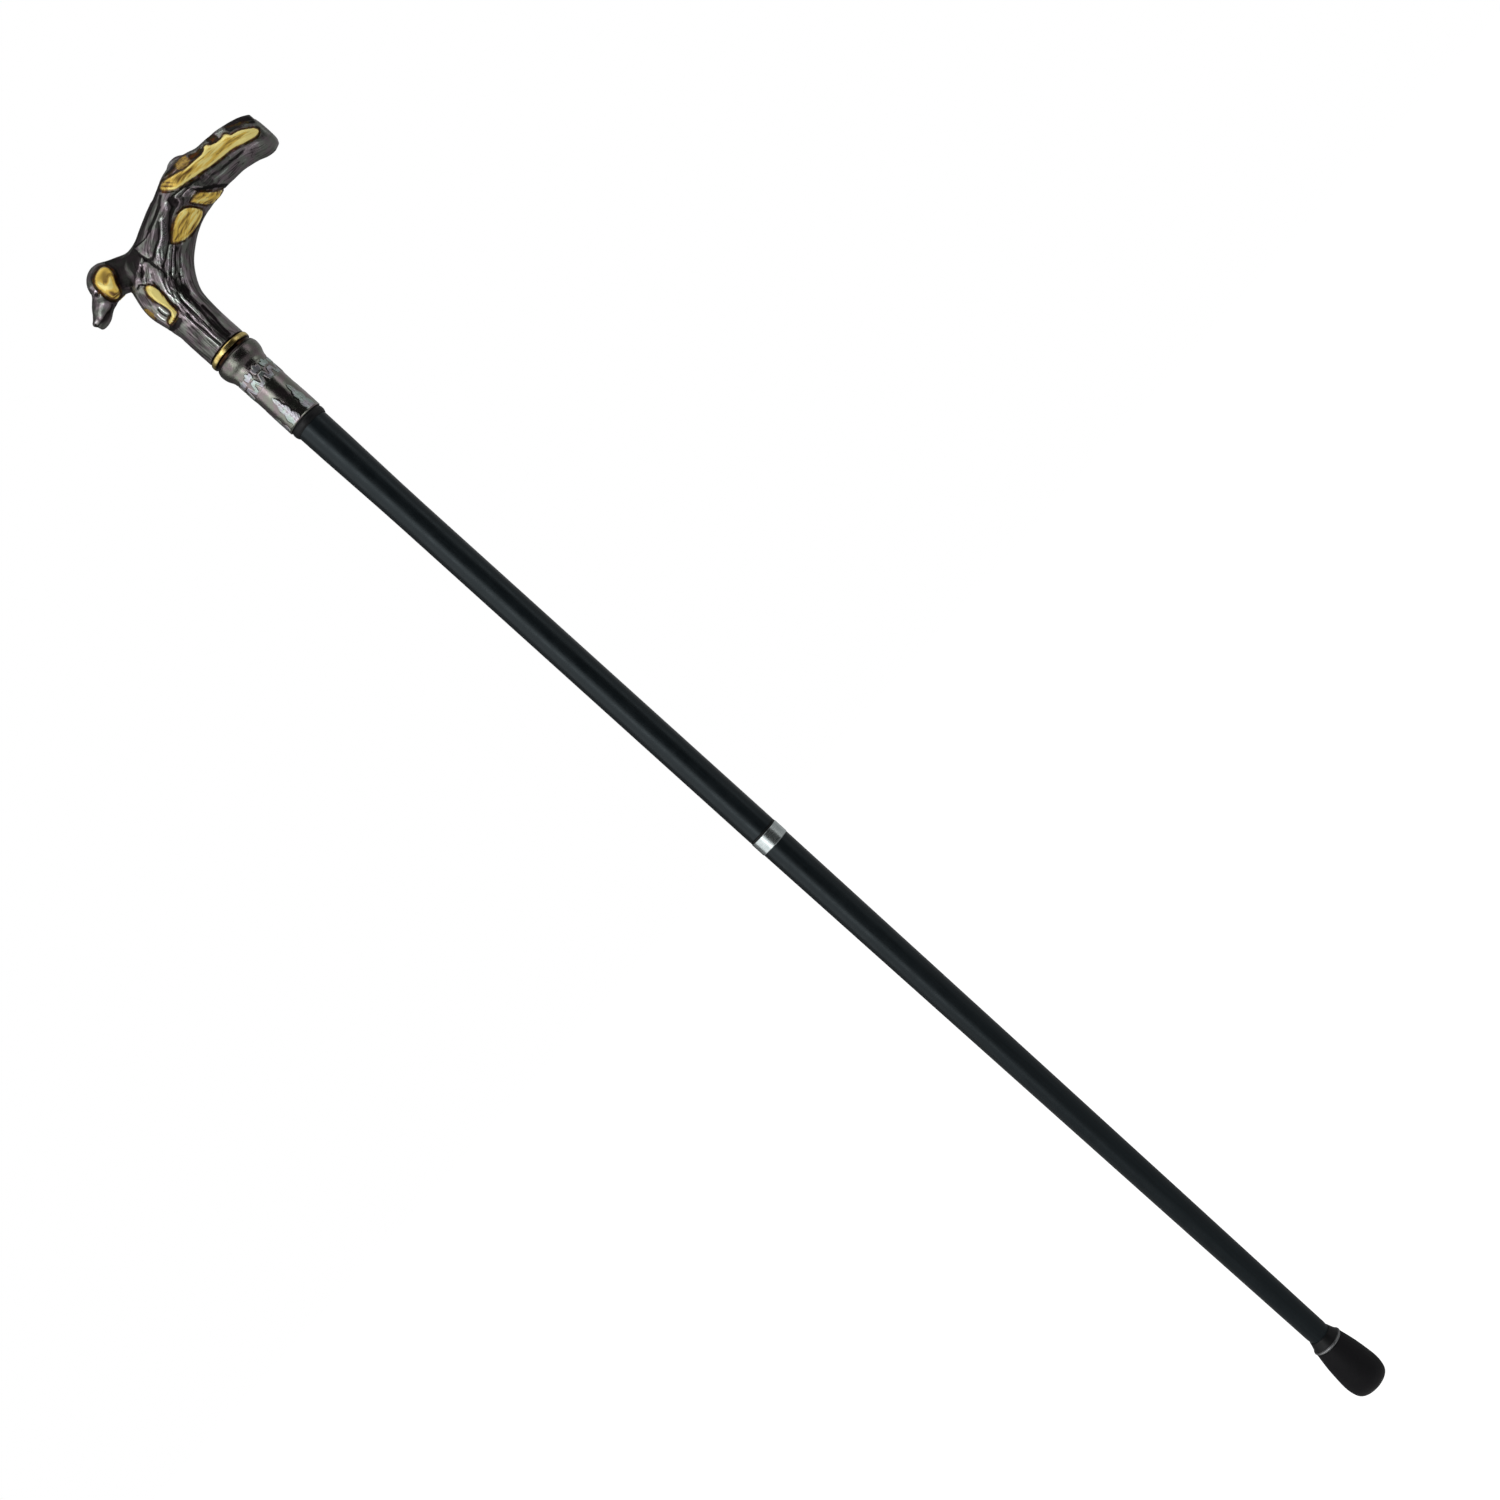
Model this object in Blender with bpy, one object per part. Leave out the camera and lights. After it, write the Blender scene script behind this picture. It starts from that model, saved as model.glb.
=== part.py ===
"""A two-section walking cane with a cast hound's-head handle.

Dimensions below are millimetres and the model is in metres. +Z runs up the shaft, the origin is the
centre of the tip's flat face, the hound looks towards -X and the tail of the grip points to +X.
"""
import math

import bmesh
import bpy
import numpy as np
from mathutils import Euler, Matrix, Vector

MM = 0.001

# Overall sizes
CANE_HEIGHT = 914.4
HANDLE_RISE = 86.0
HANDLE_BASE = CANE_HEIGHT - HANDLE_RISE
TIP_LENGTH = 34.0
JOINT_HEIGHT = 450.2
COLLAR_BASE = 769.2

# Fits
SEAT_GAP = 0.3
STUD_PLAY = 0.35

# Shaft, lacquered hardwood in two tapered sections
SHAFT_R_HEAD = 9.5
SHAFT_R_UNDER_COLLAR = 9.65
SHAFT_R_MIDDLE = 8.85
SHAFT_R_ANKLE = 6.75
SHAFT_R_FOOT = 6.6
SWELL_START = 699.0
ANKLE_HEIGHT = 44.0
TAPER_POWER = 0.85

# Rubber tip
TIP_R_FACE = 6.5
TIP_R_BULB = 12.25
TIP_BULB_HEIGHT = 9.4
TIP_R_MOUTH = 9.3
TIP_FLOOR = 6.0
TIP_WASHER_THICKNESS = 1.5
TIP_RING_THICKNESS = 1.2
BUSHING_LENGTH = 5.0

# Screw joint between the two sections
BAND_HEIGHT = 8.5
BAND_R = 9.1
BAND_WALL = 1.2
BAND_PLATE = 1.5
WASHER_THICKNESS = 0.5
JOINT_STUD_R = 4.9
JOINT_STUD_REACH = 20.0
JOINT_STUD_ROOT = 35.0
SOCKET_R = 6.5
SOCKET_FLANGE_R = 7.5
SOCKET_FLANGE = 1.5
SOCKET_LENGTH = 25.0

# Collar under the handle
LIP_HEIGHT = 4.4
LIP_R = 10.6
SLEEVE_R = 11.0
SLEEVE_BEAD_R = 13.3
SLEEVE_TOP_R = 12.7
SLEEVE_PLATE = 9.0
RING_HEIGHT = 5.0
RING_R = 12.8
RING_GROOVE_R = 11.7
RING_GROOVE = 1.2
SLEEVE_TOP = HANDLE_BASE - RING_HEIGHT - 2.0 * SEAT_GAP
HANDLE_STUD_R = 4.0
HANDLE_STUD_LENGTH = 65.0
HANDLE_BORE_DEPTH = 26.0
INSERT_R = 5.8
INSERT_LENGTH = 28.0

# Handle casting: how finely its forms are fused, softened and thinned
CASTING_VOXEL = 0.7
CASTING_SMOOTHING = 2
CASTING_KEEP = 0.084
SECTION_SIDES = 28
SPAN_STEPS = 5
SECTION_ROUNDNESS = 2.2

# Handle forms. Heights are above the handle's seat on the collar.
# Middle forms: x and height of each section's centre, half width across the spine, half depth
GRIP_SECTIONS = (
    (0.0, -3.3, 12.2, 12.0),
    (0.0, 19.2, 12.3, 12.1),
    (2.0, 35.9, 13.0, 12.0),
    (10.8, 51.2, 13.9, 11.8),
    (23.6, 61.2, 14.0, 11.7),
    (36.6, 66.7, 13.6, 11.5),
    (49.0, 69.8, 14.5, 11.5),
    (58.0, 69.4, 13.7, 11.2),
    (64.0, 68.6, 12.2, 10.9),
    (69.0, 68.1, 12.0, 10.7),
    (78.0, 67.2, 11.9, 10.5),
    (88.0, 64.3, 11.9, 10.5),
    (93.6, 61.1, 11.2, 10.2),
    (96.8, 60.2, 9.8, 9.3),
    (98.4, 60.1, 7.9, 7.4),
    (98.9, 60.1, 6.0, 5.6),
)
NECK_SECTIONS = (
    (-14.5, 68.6, 9.5, 7.8),
    (-8.0, 65.1, 9.6, 8.0),
    (0.0, 62.2, 8.8, 9.8),
    (9.5, 61.4, 10.1, 11.2),
    (21.0, 63.4, 12.1, 11.6),
    (33.0, 66.4, 13.2, 11.4),
)
BREAST_SECTIONS = (
    (-2.7, 19.4, 9.2, 8.4),
    (-3.6, 30.4, 9.9, 9.2),
    (-4.8, 40.7, 10.3, 9.6),
    (-4.0, 49.9, 9.1, 9.4),
    (-2.5, 59.4, 7.4, 8.4),
)
MUZZLE_SECTIONS = (
    (-18.6, 65.8, 7.7, 7.6),
    (-26.8, 61.9, 5.8, 5.9),
    (-31.3, 58.5, 4.9, 5.0),
    (-34.9, 57.0, 3.9, 4.2),
    (-37.0, 56.7, 2.6, 2.8),
)
# Paired forms: x, y and height of the section's centre on the near side, half width, half depth
# The far ear and the far leaves sit higher, so none of them shows under the outline.
FAR_LIFT = 2.5
EAR_SECTIONS = (
    (-15.2, -7.4, 74.6, 4.2, 1.8),
    (-15.8, -9.0, 70.9, 5.7, 2.0),
    (-16.2, -9.8, 66.2, 5.2, 2.0),
    (-16.9, -10.1, 61.7, 3.6, 1.9),
    (-17.0, -9.9, 58.0, 2.9, 1.7),
)
LEG_SECTIONS = (
    (-3.9, -9.4, 49.7, 1.7, 2.2),
    (-3.6, -10.6, 44.9, 3.1, 2.7),
    (-3.8, -11.0, 38.9, 2.8, 2.5),
    (-4.2, -10.9, 32.9, 1.9, 2.2),
    (-5.2, -10.3, 28.8, 1.7, 2.1),
    (-8.0, -8.9, 27.4, 1.9, 2.3),
    (-11.2, -6.6, 27.6, 1.7, 2.2),
)
SIDE_BAND_SECTIONS = (
    (40.8, -9.6, 75.8, 2.4, 1.8),
    (46.0, -10.6, 74.2, 3.7, 2.2),
    (55.0, -10.8, 72.0, 3.8, 2.3),
    (64.0, -10.4, 70.1, 4.4, 2.3),
    (69.0, -10.2, 70.2, 5.3, 2.3),
    (73.0, -10.0, 68.7, 4.3, 2.3),
    (82.0, -9.9, 66.7, 4.0, 2.3),
    (89.0, -9.8, 63.8, 3.8, 2.3),
    (94.2, -9.2, 61.7, 2.4, 2.0),
)
# Round forms: centre, radii, turns about X and Y in degrees. Off the middle plane they have a twin.
ROUND_FORMS = {
    "skull": ((-16.4, 0.0, 68.4), (10.6, 9.3, 10.7), (0.0, 0.0)),
    "shoulder": ((53.0, 0.0, 77.2), (9.0, 7.6, 8.9), (0.0, 0.0)),
    "nose": ((-36.7, 0.0, 58.5), (1.7, 2.4, 1.6), (0.0, 0.0)),
    "brow": ((-22.4, -4.8, 70.2), (3.2, 2.6, 2.0), (0.0, 35.0)),
    "eye": ((-24.4, -6.3, 66.4), (1.8, 1.7, 1.7), (0.0, 0.0)),
    "cheek": ((-22.6, -5.4, 63.2), (3.6, 2.6, 3.2), (0.0, 0.0)),
    "oval_leaf": ((33.3, -7.9, 56.0), (10.7, 2.2, 6.5), (41.0, -5.0)),
    "band_leaf": ((51.9, -7.3, 58.8), (7.6, 2.2, 3.2), (41.0, 49.0)),
}

STEPS_VISIBLE = 32
STEPS_HIDDEN = 24
CURVE_STEPS = 2
SHARP_ANGLE = math.radians(35.0)
WELD = 1.0e-6


def clear_scene():
    for thing in list(bpy.data.objects):
        bpy.data.objects.remove(thing, do_unlink=True)


def material(name, colour, roughness, metallic):
    mat = bpy.data.materials.new(name)
    mat.use_nodes = True
    shader = mat.node_tree.nodes["Principled BSDF"]
    shader.inputs["Base Color"].default_value = (*colour, 1.0)
    shader.inputs["Roughness"].default_value = roughness
    shader.inputs["Metallic"].default_value = metallic
    return mat


def link_mesh(name, bm, mat):
    """Turn a bmesh in millimetres into a smooth-shaded object in metres."""
    bmesh.ops.recalc_face_normals(bm, faces=bm.faces)
    bmesh.ops.scale(bm, vec=(MM, MM, MM), verts=bm.verts)
    mesh = bpy.data.meshes.new(name)
    bm.to_mesh(mesh)
    bm.free()
    mesh.shade_smooth()
    mesh.set_sharp_from_angle(angle=SHARP_ANGLE)
    mesh.materials.append(mat)
    thing = bpy.data.objects.new(name, mesh)
    bpy.context.collection.objects.link(thing)
    return thing


def through(points, steps):
    """Points on the smooth curve that passes through the given ones."""
    pts = np.asarray(points, dtype=float)
    padded = np.vstack((2 * pts[0] - pts[1], pts, 2 * pts[-1] - pts[-2]))
    curve = []
    for i in range(len(pts) - 1):
        a, b, c, d = padded[i:i + 4]
        for t in np.arange(steps) / steps:
            curve.append(0.5 * (2 * b + (c - a) * t + (2 * a - 5 * b + 4 * c - d) * t ** 2
                                + (3 * b - a - 3 * c + d) * t ** 3))
    curve.append(pts[-1])
    return np.array(curve)


def turned(name, outline, mat, steps=STEPS_VISIBLE):
    """Spin an outline of (radius, height) pairs about Z.

    The outline runs down the outer side. It closes along the bore, or along the axis where the
    piece is solid.
    """
    bm = bmesh.new()
    solid = outline[0][0] == 0.0
    verts = [bm.verts.new((r, 0.0, z)) for r, z in outline]
    edges = [bm.edges.new(pair) for pair in zip(verts, verts[1:])]
    if not solid:
        edges.append(bm.edges.new((verts[-1], verts[0])))
    bmesh.ops.spin(bm, geom=verts + edges, cent=(0.0, 0.0, 0.0), axis=(0.0, 0.0, 1.0),
                   angle=math.tau, steps=steps, use_merge=True)
    bmesh.ops.remove_doubles(bm, verts=bm.verts, dist=WELD)
    return link_mesh(name, bm, mat)


def tube(r_out, r_in, low, high):
    """The outline of a plain tube between two heights."""
    return [(r_out, high), (r_out, low), (r_in, low), (r_in, high)]


# Turned pieces, from the ground up

def tip_outline():
    """Rubber bulb that narrows to its mouth, with the blind bore for the shaft."""
    bore = SHAFT_R_FOOT + STUD_PLAY
    bulb = TIP_BULB_HEIGHT
    rise = TIP_LENGTH - bulb
    side = through((
        (TIP_R_MOUTH, TIP_LENGTH - 0.7),
        (TIP_R_MOUTH + 0.55 * (TIP_R_BULB - TIP_R_MOUTH), bulb + 0.6 * rise),
        (TIP_R_BULB - 0.35, bulb + 0.25 * rise),
        (TIP_R_BULB, bulb),
        (TIP_R_BULB - 0.6, 0.5 * bulb),
        (0.5 * (TIP_R_BULB + TIP_R_FACE) + 0.9, 0.18 * bulb),
        (TIP_R_FACE + 0.9, 0.25),
    ), CURVE_STEPS)
    mouth = [(bore, TIP_LENGTH), (TIP_R_MOUTH - 0.7, TIP_LENGTH)]
    return ([(0.0, TIP_FLOOR), (bore, TIP_FLOOR)] + mouth + [tuple(p) for p in side]
            + [(TIP_R_FACE, 0.0), (0.0, 0.0)])


def shaft_taper(height):
    """Radius of the lower section between its foot and the joint."""
    rise = (height - ANKLE_HEIGHT) / (JOINT_HEIGHT - ANKLE_HEIGHT)
    return SHAFT_R_ANKLE + (SHAFT_R_MIDDLE - SHAFT_R_ANKLE) * rise ** TAPER_POWER


def lower_section(mats):
    washer_top = TIP_FLOOR + SEAT_GAP + TIP_WASHER_THICKNESS
    ring_low = TIP_LENGTH + SEAT_GAP
    bushing_low = ring_low + TIP_RING_THICKNESS + SEAT_GAP
    bore = SHAFT_R_FOOT + SEAT_GAP
    turned("ferrule", tip_outline(), mats["rubber"])
    turned("ferrule_washer",
           [(0.0, washer_top), (SHAFT_R_FOOT, washer_top), (SHAFT_R_FOOT, TIP_FLOOR + SEAT_GAP),
            (0.0, TIP_FLOOR + SEAT_GAP)], mats["steel"], STEPS_HIDDEN)
    ring = tube(TIP_R_MOUTH + 0.15, bore, ring_low, ring_low + TIP_RING_THICKNESS)
    turned("ferrule_ring", ring, mats["steel"])
    cone_top = bushing_low + BUSHING_LENGTH
    cone = through(((bore + 0.25, cone_top), (bore + 0.7, cone_top - 2.0),
                    (TIP_R_MOUTH - 0.5, bushing_low)), CURVE_STEPS)
    turned("tip_bushing", [tuple(p) for p in cone] + [(bore, bushing_low), (bore, cone_top)],
           mats["black_fitting"])

    band_low = JOINT_HEIGHT - WASHER_THICKNESS - SEAT_GAP - BAND_HEIGHT
    band_top = band_low + BAND_HEIGHT
    tenon_top = band_top - BAND_PLATE - SEAT_GAP
    tenon_r = BAND_R - BAND_WALL - SEAT_GAP
    stud_bore = JOINT_STUD_R + STUD_PLAY
    shaft_top = band_low - SEAT_GAP
    stud_low = shaft_top - JOINT_STUD_ROOT
    foot = washer_top + SEAT_GAP
    heights = np.linspace(shaft_top, ANKLE_HEIGHT, 5)
    side = [(shaft_taper(z), z) for z in heights]
    turned("lower_shaft",
           [(0.0, stud_low - SEAT_GAP), (stud_bore, stud_low - SEAT_GAP), (stud_bore, tenon_top),
            (tenon_r, tenon_top), (tenon_r, shaft_top)] + side
           + [(SHAFT_R_FOOT, ANKLE_HEIGHT - 2.0), (SHAFT_R_FOOT, foot + 0.6),
              (SHAFT_R_FOOT - 0.6, foot), (0.0, foot)],
           mats["black_lacquer"])
    turned("joint_band",
           [(stud_bore, band_top), (BAND_R - 0.3, band_top), (BAND_R, band_top - 0.3),
            (BAND_R, band_low + 0.3), (BAND_R - 0.3, band_low), (BAND_R - BAND_WALL, band_low),
            (BAND_R - BAND_WALL, band_top - BAND_PLATE), (stud_bore, band_top - BAND_PLATE)],
           mats["bright_steel"])
    stud_top = JOINT_HEIGHT + JOINT_STUD_REACH
    turned("joint_stud",
           [(0.0, stud_top), (JOINT_STUD_R - 1.0, stud_top), (JOINT_STUD_R, stud_top - 1.0),
            (JOINT_STUD_R, stud_low), (0.0, stud_low)], mats["steel"], STEPS_HIDDEN)
    turned("joint_washer", tube(SHAFT_R_MIDDLE, stud_bore, JOINT_HEIGHT - WASHER_THICKNESS, JOINT_HEIGHT),
           mats["black_fitting"])


def shaft_swell(height):
    """Radius of the upper section where it thickens towards the collar."""
    rise = (height - SWELL_START) / (COLLAR_BASE - SWELL_START)
    ease = rise * rise * (3.0 - 2.0 * rise)
    return SHAFT_R_MIDDLE + (SHAFT_R_UNDER_COLLAR - SHAFT_R_MIDDLE) * ease


def upper_section(mats):
    stud_bore = JOINT_STUD_R + STUD_PLAY
    base = JOINT_HEIGHT + SEAT_GAP
    turned("joint_socket",
           [(stud_bore, base + SOCKET_LENGTH), (SOCKET_R, base + SOCKET_LENGTH),
            (SOCKET_R, base + SOCKET_FLANGE), (SOCKET_FLANGE_R, base + SOCKET_FLANGE),
            (SOCKET_FLANGE_R, base), (stud_bore, base)], mats["brass"], STEPS_HIDDEN)

    pocket_r = SOCKET_R + SEAT_GAP
    flange_r = SOCKET_FLANGE_R + SEAT_GAP
    flange_top = base + SOCKET_FLANGE + SEAT_GAP
    pocket_top = base + SOCKET_LENGTH + SEAT_GAP
    head = SLEEVE_TOP - SLEEVE_PLATE - SEAT_GAP
    insert_low = head - INSERT_LENGTH
    insert_pocket = INSERT_R + SEAT_GAP
    swell = [(shaft_swell(z), z) for z in np.linspace(COLLAR_BASE, SWELL_START, 5)]
    turned("upper_shaft",
           [(0.0, insert_low - SEAT_GAP), (insert_pocket, insert_low - SEAT_GAP),
            (insert_pocket, head), (SHAFT_R_HEAD - 0.6, head), (SHAFT_R_HEAD, head - 0.6)]
           + swell + [(SHAFT_R_MIDDLE, 0.5 * (SWELL_START + base)), (SHAFT_R_MIDDLE, base + 0.3),
              (SHAFT_R_MIDDLE - 0.3, base), (flange_r, base), (flange_r, flange_top),
              (pocket_r, flange_top), (pocket_r, pocket_top), (0.0, pocket_top)],
           mats["black_lacquer"])
    stud_hole = HANDLE_STUD_R + STUD_PLAY
    turned("top_insert", tube(INSERT_R, stud_hole, insert_low, head), mats["brass"], STEPS_HIDDEN)


def collar(mats):
    shaft_bore = SHAFT_R_UNDER_COLLAR + SEAT_GAP
    stud_hole = HANDLE_STUD_R + STUD_PLAY
    lip_top = COLLAR_BASE + LIP_HEIGHT
    lip = through(((LIP_R - 0.35, lip_top), (LIP_R, lip_top - 1.6), (LIP_R - 0.1, COLLAR_BASE + 1.2),
                   (LIP_R - 0.5, COLLAR_BASE)), CURVE_STEPS)
    turned("collar_base_ring",
           [tuple(p) for p in lip] + [(shaft_bore, COLLAR_BASE), (shaft_bore, lip_top)],
           mats["black_fitting"])

    sleeve_low = lip_top + SEAT_GAP
    head = SLEEVE_TOP - SLEEVE_PLATE
    bead = through(((SLEEVE_TOP_R, SLEEVE_TOP), (SLEEVE_BEAD_R, SLEEVE_TOP - 3.0),
                    (SLEEVE_BEAD_R - 0.5, SLEEVE_TOP - 6.2), (SLEEVE_R + 0.35, SLEEVE_TOP - 9.6),
                    (SLEEVE_R, SLEEVE_TOP - 12.0)), CURVE_STEPS)
    turned("collar_sleeve",
           [(stud_hole, SLEEVE_TOP)] + [tuple(p) for p in bead]
           + [(SLEEVE_R, sleeve_low + 0.3), (SLEEVE_R - 0.3, sleeve_low), (shaft_bore, sleeve_low),
              (shaft_bore, head), (stud_hole, head)], mats["antique_nickel"])

    ring_low = SLEEVE_TOP + SEAT_GAP
    ring_top = HANDLE_BASE - SEAT_GAP
    ring = through(((RING_R - 0.8, ring_top), (RING_R - 0.1, ring_top - 0.9),
                    (RING_R, 0.5 * (ring_top + ring_low + RING_GROOVE)),
                    (RING_R - 0.3, ring_low + RING_GROOVE + 0.4),
                    (RING_GROOVE_R, ring_low + RING_GROOVE)), CURVE_STEPS)
    turned("gold_ring",
           [(stud_hole, ring_top)] + [tuple(p) for p in ring]
           + [(RING_GROOVE_R, ring_low), (stud_hole, ring_low)], mats["gold"])

    stud_top = HANDLE_BASE + HANDLE_BORE_DEPTH - SEAT_GAP
    turned("handle_stud",
           [(0.0, stud_top), (HANDLE_STUD_R, stud_top), (HANDLE_STUD_R, stud_top - HANDLE_STUD_LENGTH),
            (0.0, stud_top - HANDLE_STUD_LENGTH)], mats["steel"], STEPS_HIDDEN)


# Handle casting

def ring_points(centre, across, half_across, half_deep):
    """One rounded section, across its spine and along Y."""
    points = []
    for a in np.arange(SECTION_SIDES) * math.tau / SECTION_SIDES:
        c = math.copysign(abs(math.cos(a)) ** (2.0 / SECTION_ROUNDNESS), math.cos(a))
        s = math.copysign(abs(math.sin(a)) ** (2.0 / SECTION_ROUNDNESS), math.sin(a))
        points.append(centre + across * (half_across * c) + Vector((0.0, half_deep * s, 0.0)))
    return points


def loft(bm, sections):
    """A closed body through sections of (x, y, height, half across, half deep)."""
    rows = through(sections, SPAN_STEPS)
    rows[:, 2] += HANDLE_BASE
    run = np.gradient(rows[:, [0, 2]], axis=0)
    loops = []
    for row, (dx, dz) in zip(rows, run):
        across = Vector((-dz, 0.0, dx)).normalized()
        loop = ring_points(Vector(row[:3]), across, row[3], row[4])
        loops.append([bm.verts.new(p) for p in loop])
    for low, high in zip(loops, loops[1:]):
        for i in range(SECTION_SIDES):
            j = (i + 1) % SECTION_SIDES
            bm.faces.new((low[i], low[j], high[j], high[i]))
    bm.faces.new(loops[0])
    bm.faces.new(loops[-1])


def on_middle(sections):
    """Sections given without a y lie on the middle plane."""
    return [(x, 0.0, height, across, deep) for x, height, across, deep in sections]


def pair(bm, sections, lift=0.0):
    """A loft on the near side and its mirror twin on the far side, lifted where asked."""
    loft(bm, sections)
    loft(bm, [(x, -y, height + lift, across, deep) for x, y, height, across, deep in sections])


def round_form(bm, centre, radii, turns, lift=0.0):
    """An ellipsoid, with a mirror twin where it lies off the middle plane."""
    turn_x, turn_y = (math.radians(turn) for turn in turns)
    for side in (1.0, -1.0) if centre[1] else (1.0,):
        rise = lift if side < 0.0 else 0.0
        place = Vector((centre[0], side * centre[1], HANDLE_BASE + centre[2] + rise))
        turn = Euler((side * turn_x, turn_y, 0.0), "ZYX")
        matrix = Matrix.LocRotScale(place, turn, Vector(radii))
        bmesh.ops.create_uvsphere(bm, u_segments=24, v_segments=14, radius=1.0, matrix=matrix)


def cutter(name, bm):
    thing = link_mesh(name, bm, material(name, (0.5, 0.5, 0.5), 0.5, 0.0))
    thing.hide_render = True
    thing.display_type = "WIRE"
    return thing


def base_cutter():
    """Everything under the handle's seat."""
    size = 60.0
    bm = bmesh.new()
    place = Matrix.Translation((0.0, 0.0, HANDLE_BASE - 0.5 * size))
    bmesh.ops.create_cube(bm, size=size, matrix=place)
    return cutter("handle_base_cutter", bm)


def bore_cutter():
    """The blind hole for the stud."""
    overrun = 5.0
    depth = HANDLE_BORE_DEPTH + overrun
    bm = bmesh.new()
    place = Matrix.Translation((0.0, 0.0, HANDLE_BASE + 0.5 * depth - overrun))
    radius = HANDLE_STUD_R + STUD_PLAY
    bmesh.ops.create_cone(bm, cap_ends=True, segments=STEPS_HIDDEN, radius1=radius, radius2=radius,
                          depth=depth, matrix=place)
    return cutter("handle_bore_cutter", bm)


def handle_casting(mats):
    """Carved forms fused into one skin, thinned, then seated and bored."""
    bm = bmesh.new()
    loft(bm, on_middle(GRIP_SECTIONS))
    loft(bm, on_middle(NECK_SECTIONS))
    loft(bm, on_middle(BREAST_SECTIONS))
    loft(bm, on_middle(MUZZLE_SECTIONS))
    pair(bm, EAR_SECTIONS, FAR_LIFT)
    pair(bm, LEG_SECTIONS)
    pair(bm, SIDE_BAND_SECTIONS)
    for name, (centre, radii, turns) in ROUND_FORMS.items():
        round_form(bm, centre, radii, turns, FAR_LIFT if name.endswith("leaf") else 0.0)
    casting = link_mesh("handle_casting", bm, mats["antique_nickel"])

    fuse = casting.modifiers.new("Fuse", "REMESH")
    fuse.mode = "VOXEL"
    fuse.voxel_size = CASTING_VOXEL * MM
    fuse.use_smooth_shade = True
    soften = casting.modifiers.new("Soften", "SMOOTH")
    soften.factor = 0.5
    soften.iterations = CASTING_SMOOTHING
    thin = casting.modifiers.new("Thin", "DECIMATE")
    thin.ratio = CASTING_KEEP
    for name, tool in (("Seat", base_cutter()), ("Bore", bore_cutter())):
        cut = casting.modifiers.new(name, "BOOLEAN")
        cut.operation = "DIFFERENCE"
        cut.solver = "EXACT"
        cut.object = tool
    return casting


def build():
    clear_scene()
    mats = {
        "antique_nickel": material("antique_nickel", (0.11, 0.10, 0.095), 0.32, 1.0),
        "gold": material("gold", (0.80, 0.58, 0.20), 0.28, 1.0),
        "black_lacquer": material("black_lacquer", (0.012, 0.014, 0.016), 0.35, 0.0),
        "black_fitting": material("black_fitting", (0.015, 0.015, 0.016), 0.45, 0.0),
        "bright_steel": material("bright_steel", (0.72, 0.75, 0.76), 0.22, 1.0),
        "steel": material("steel", (0.50, 0.50, 0.50), 0.35, 1.0),
        "brass": material("brass", (0.62, 0.46, 0.20), 0.35, 1.0),
        "rubber": material("rubber", (0.018, 0.018, 0.020), 0.70, 0.0),
    }
    lower_section(mats)
    upper_section(mats)
    collar(mats)
    handle_casting(mats)


build()
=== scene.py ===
"""The looks of the walking cane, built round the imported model.

Lengths are millimetres unless a name ends in _M. The shaft runs up +Z from the tip's flat face, the
hound looks towards -X and the photographed side faces -Y.
"""

import math

import bmesh
import bpy
import numpy as np
from mathutils import Matrix, Vector, noise


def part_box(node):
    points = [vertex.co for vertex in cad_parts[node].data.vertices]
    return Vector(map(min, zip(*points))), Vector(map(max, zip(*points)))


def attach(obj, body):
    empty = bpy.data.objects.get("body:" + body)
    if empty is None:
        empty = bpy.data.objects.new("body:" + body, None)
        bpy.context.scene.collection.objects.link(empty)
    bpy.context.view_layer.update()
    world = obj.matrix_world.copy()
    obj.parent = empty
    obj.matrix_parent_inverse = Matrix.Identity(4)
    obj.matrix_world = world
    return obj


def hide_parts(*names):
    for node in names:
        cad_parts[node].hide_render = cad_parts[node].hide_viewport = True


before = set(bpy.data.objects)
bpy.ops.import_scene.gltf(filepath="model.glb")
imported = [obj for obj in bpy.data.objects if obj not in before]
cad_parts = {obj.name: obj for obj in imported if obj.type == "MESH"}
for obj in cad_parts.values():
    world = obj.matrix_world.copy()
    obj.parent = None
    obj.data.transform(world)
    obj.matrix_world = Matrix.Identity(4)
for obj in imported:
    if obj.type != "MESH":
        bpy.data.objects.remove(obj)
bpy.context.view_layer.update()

MM = 0.001
UP = Vector((0.0, 0.0, 1.0))

# The photograph's camera, in front of the cane and level with the middle of the upper section
CAMERA_AT = Vector((27.8, -1150.0, 550.0))
CAMERA_AIM = Vector((27.8, 0.0, 484.2))
CAMERA_ROLL = math.radians(-47.85)
CAMERA_FOCAL_PIXELS = 2164.5
PHOTO_PIXELS = 1500.0
SENSOR_WIDTH = 36.0

# Stage, in metres. The floor lies below the tip's lowest pose
FLOOR_SIZE_M = 12.0
FLOOR_AT_M = -0.06
FLOOR_LIFT = 0.55
FILL_LEVEL = 0.55
CARD_RADIUS_M = 1.6
CARD_LOW_M = -0.6
CARD_HIGH_M = 2.2
# Upright cards that only reflections see: first and last azimuth from the camera, and brightness
CARDS = (
    ("card_black_front", -14, 58, 0.024),
    ("card_grey_right", 58, 122, 0.29),
    ("card_rim_right", 122, 168, 0.38),
    ("card_dark_back", 168, 232, 0.1),
    ("card_grey_left", 232, 262, 0.15),
)
# Level cards: height, inner and outer radius, and brightness
LEVEL_CARDS = (
    ("card_ceiling", CARD_HIGH_M, 0, CARD_RADIUS_M, 0.16),
    ("card_floor", FLOOR_AT_M + 0.001, 0.06, CARD_RADIUS_M, 0.26),
)
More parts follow.
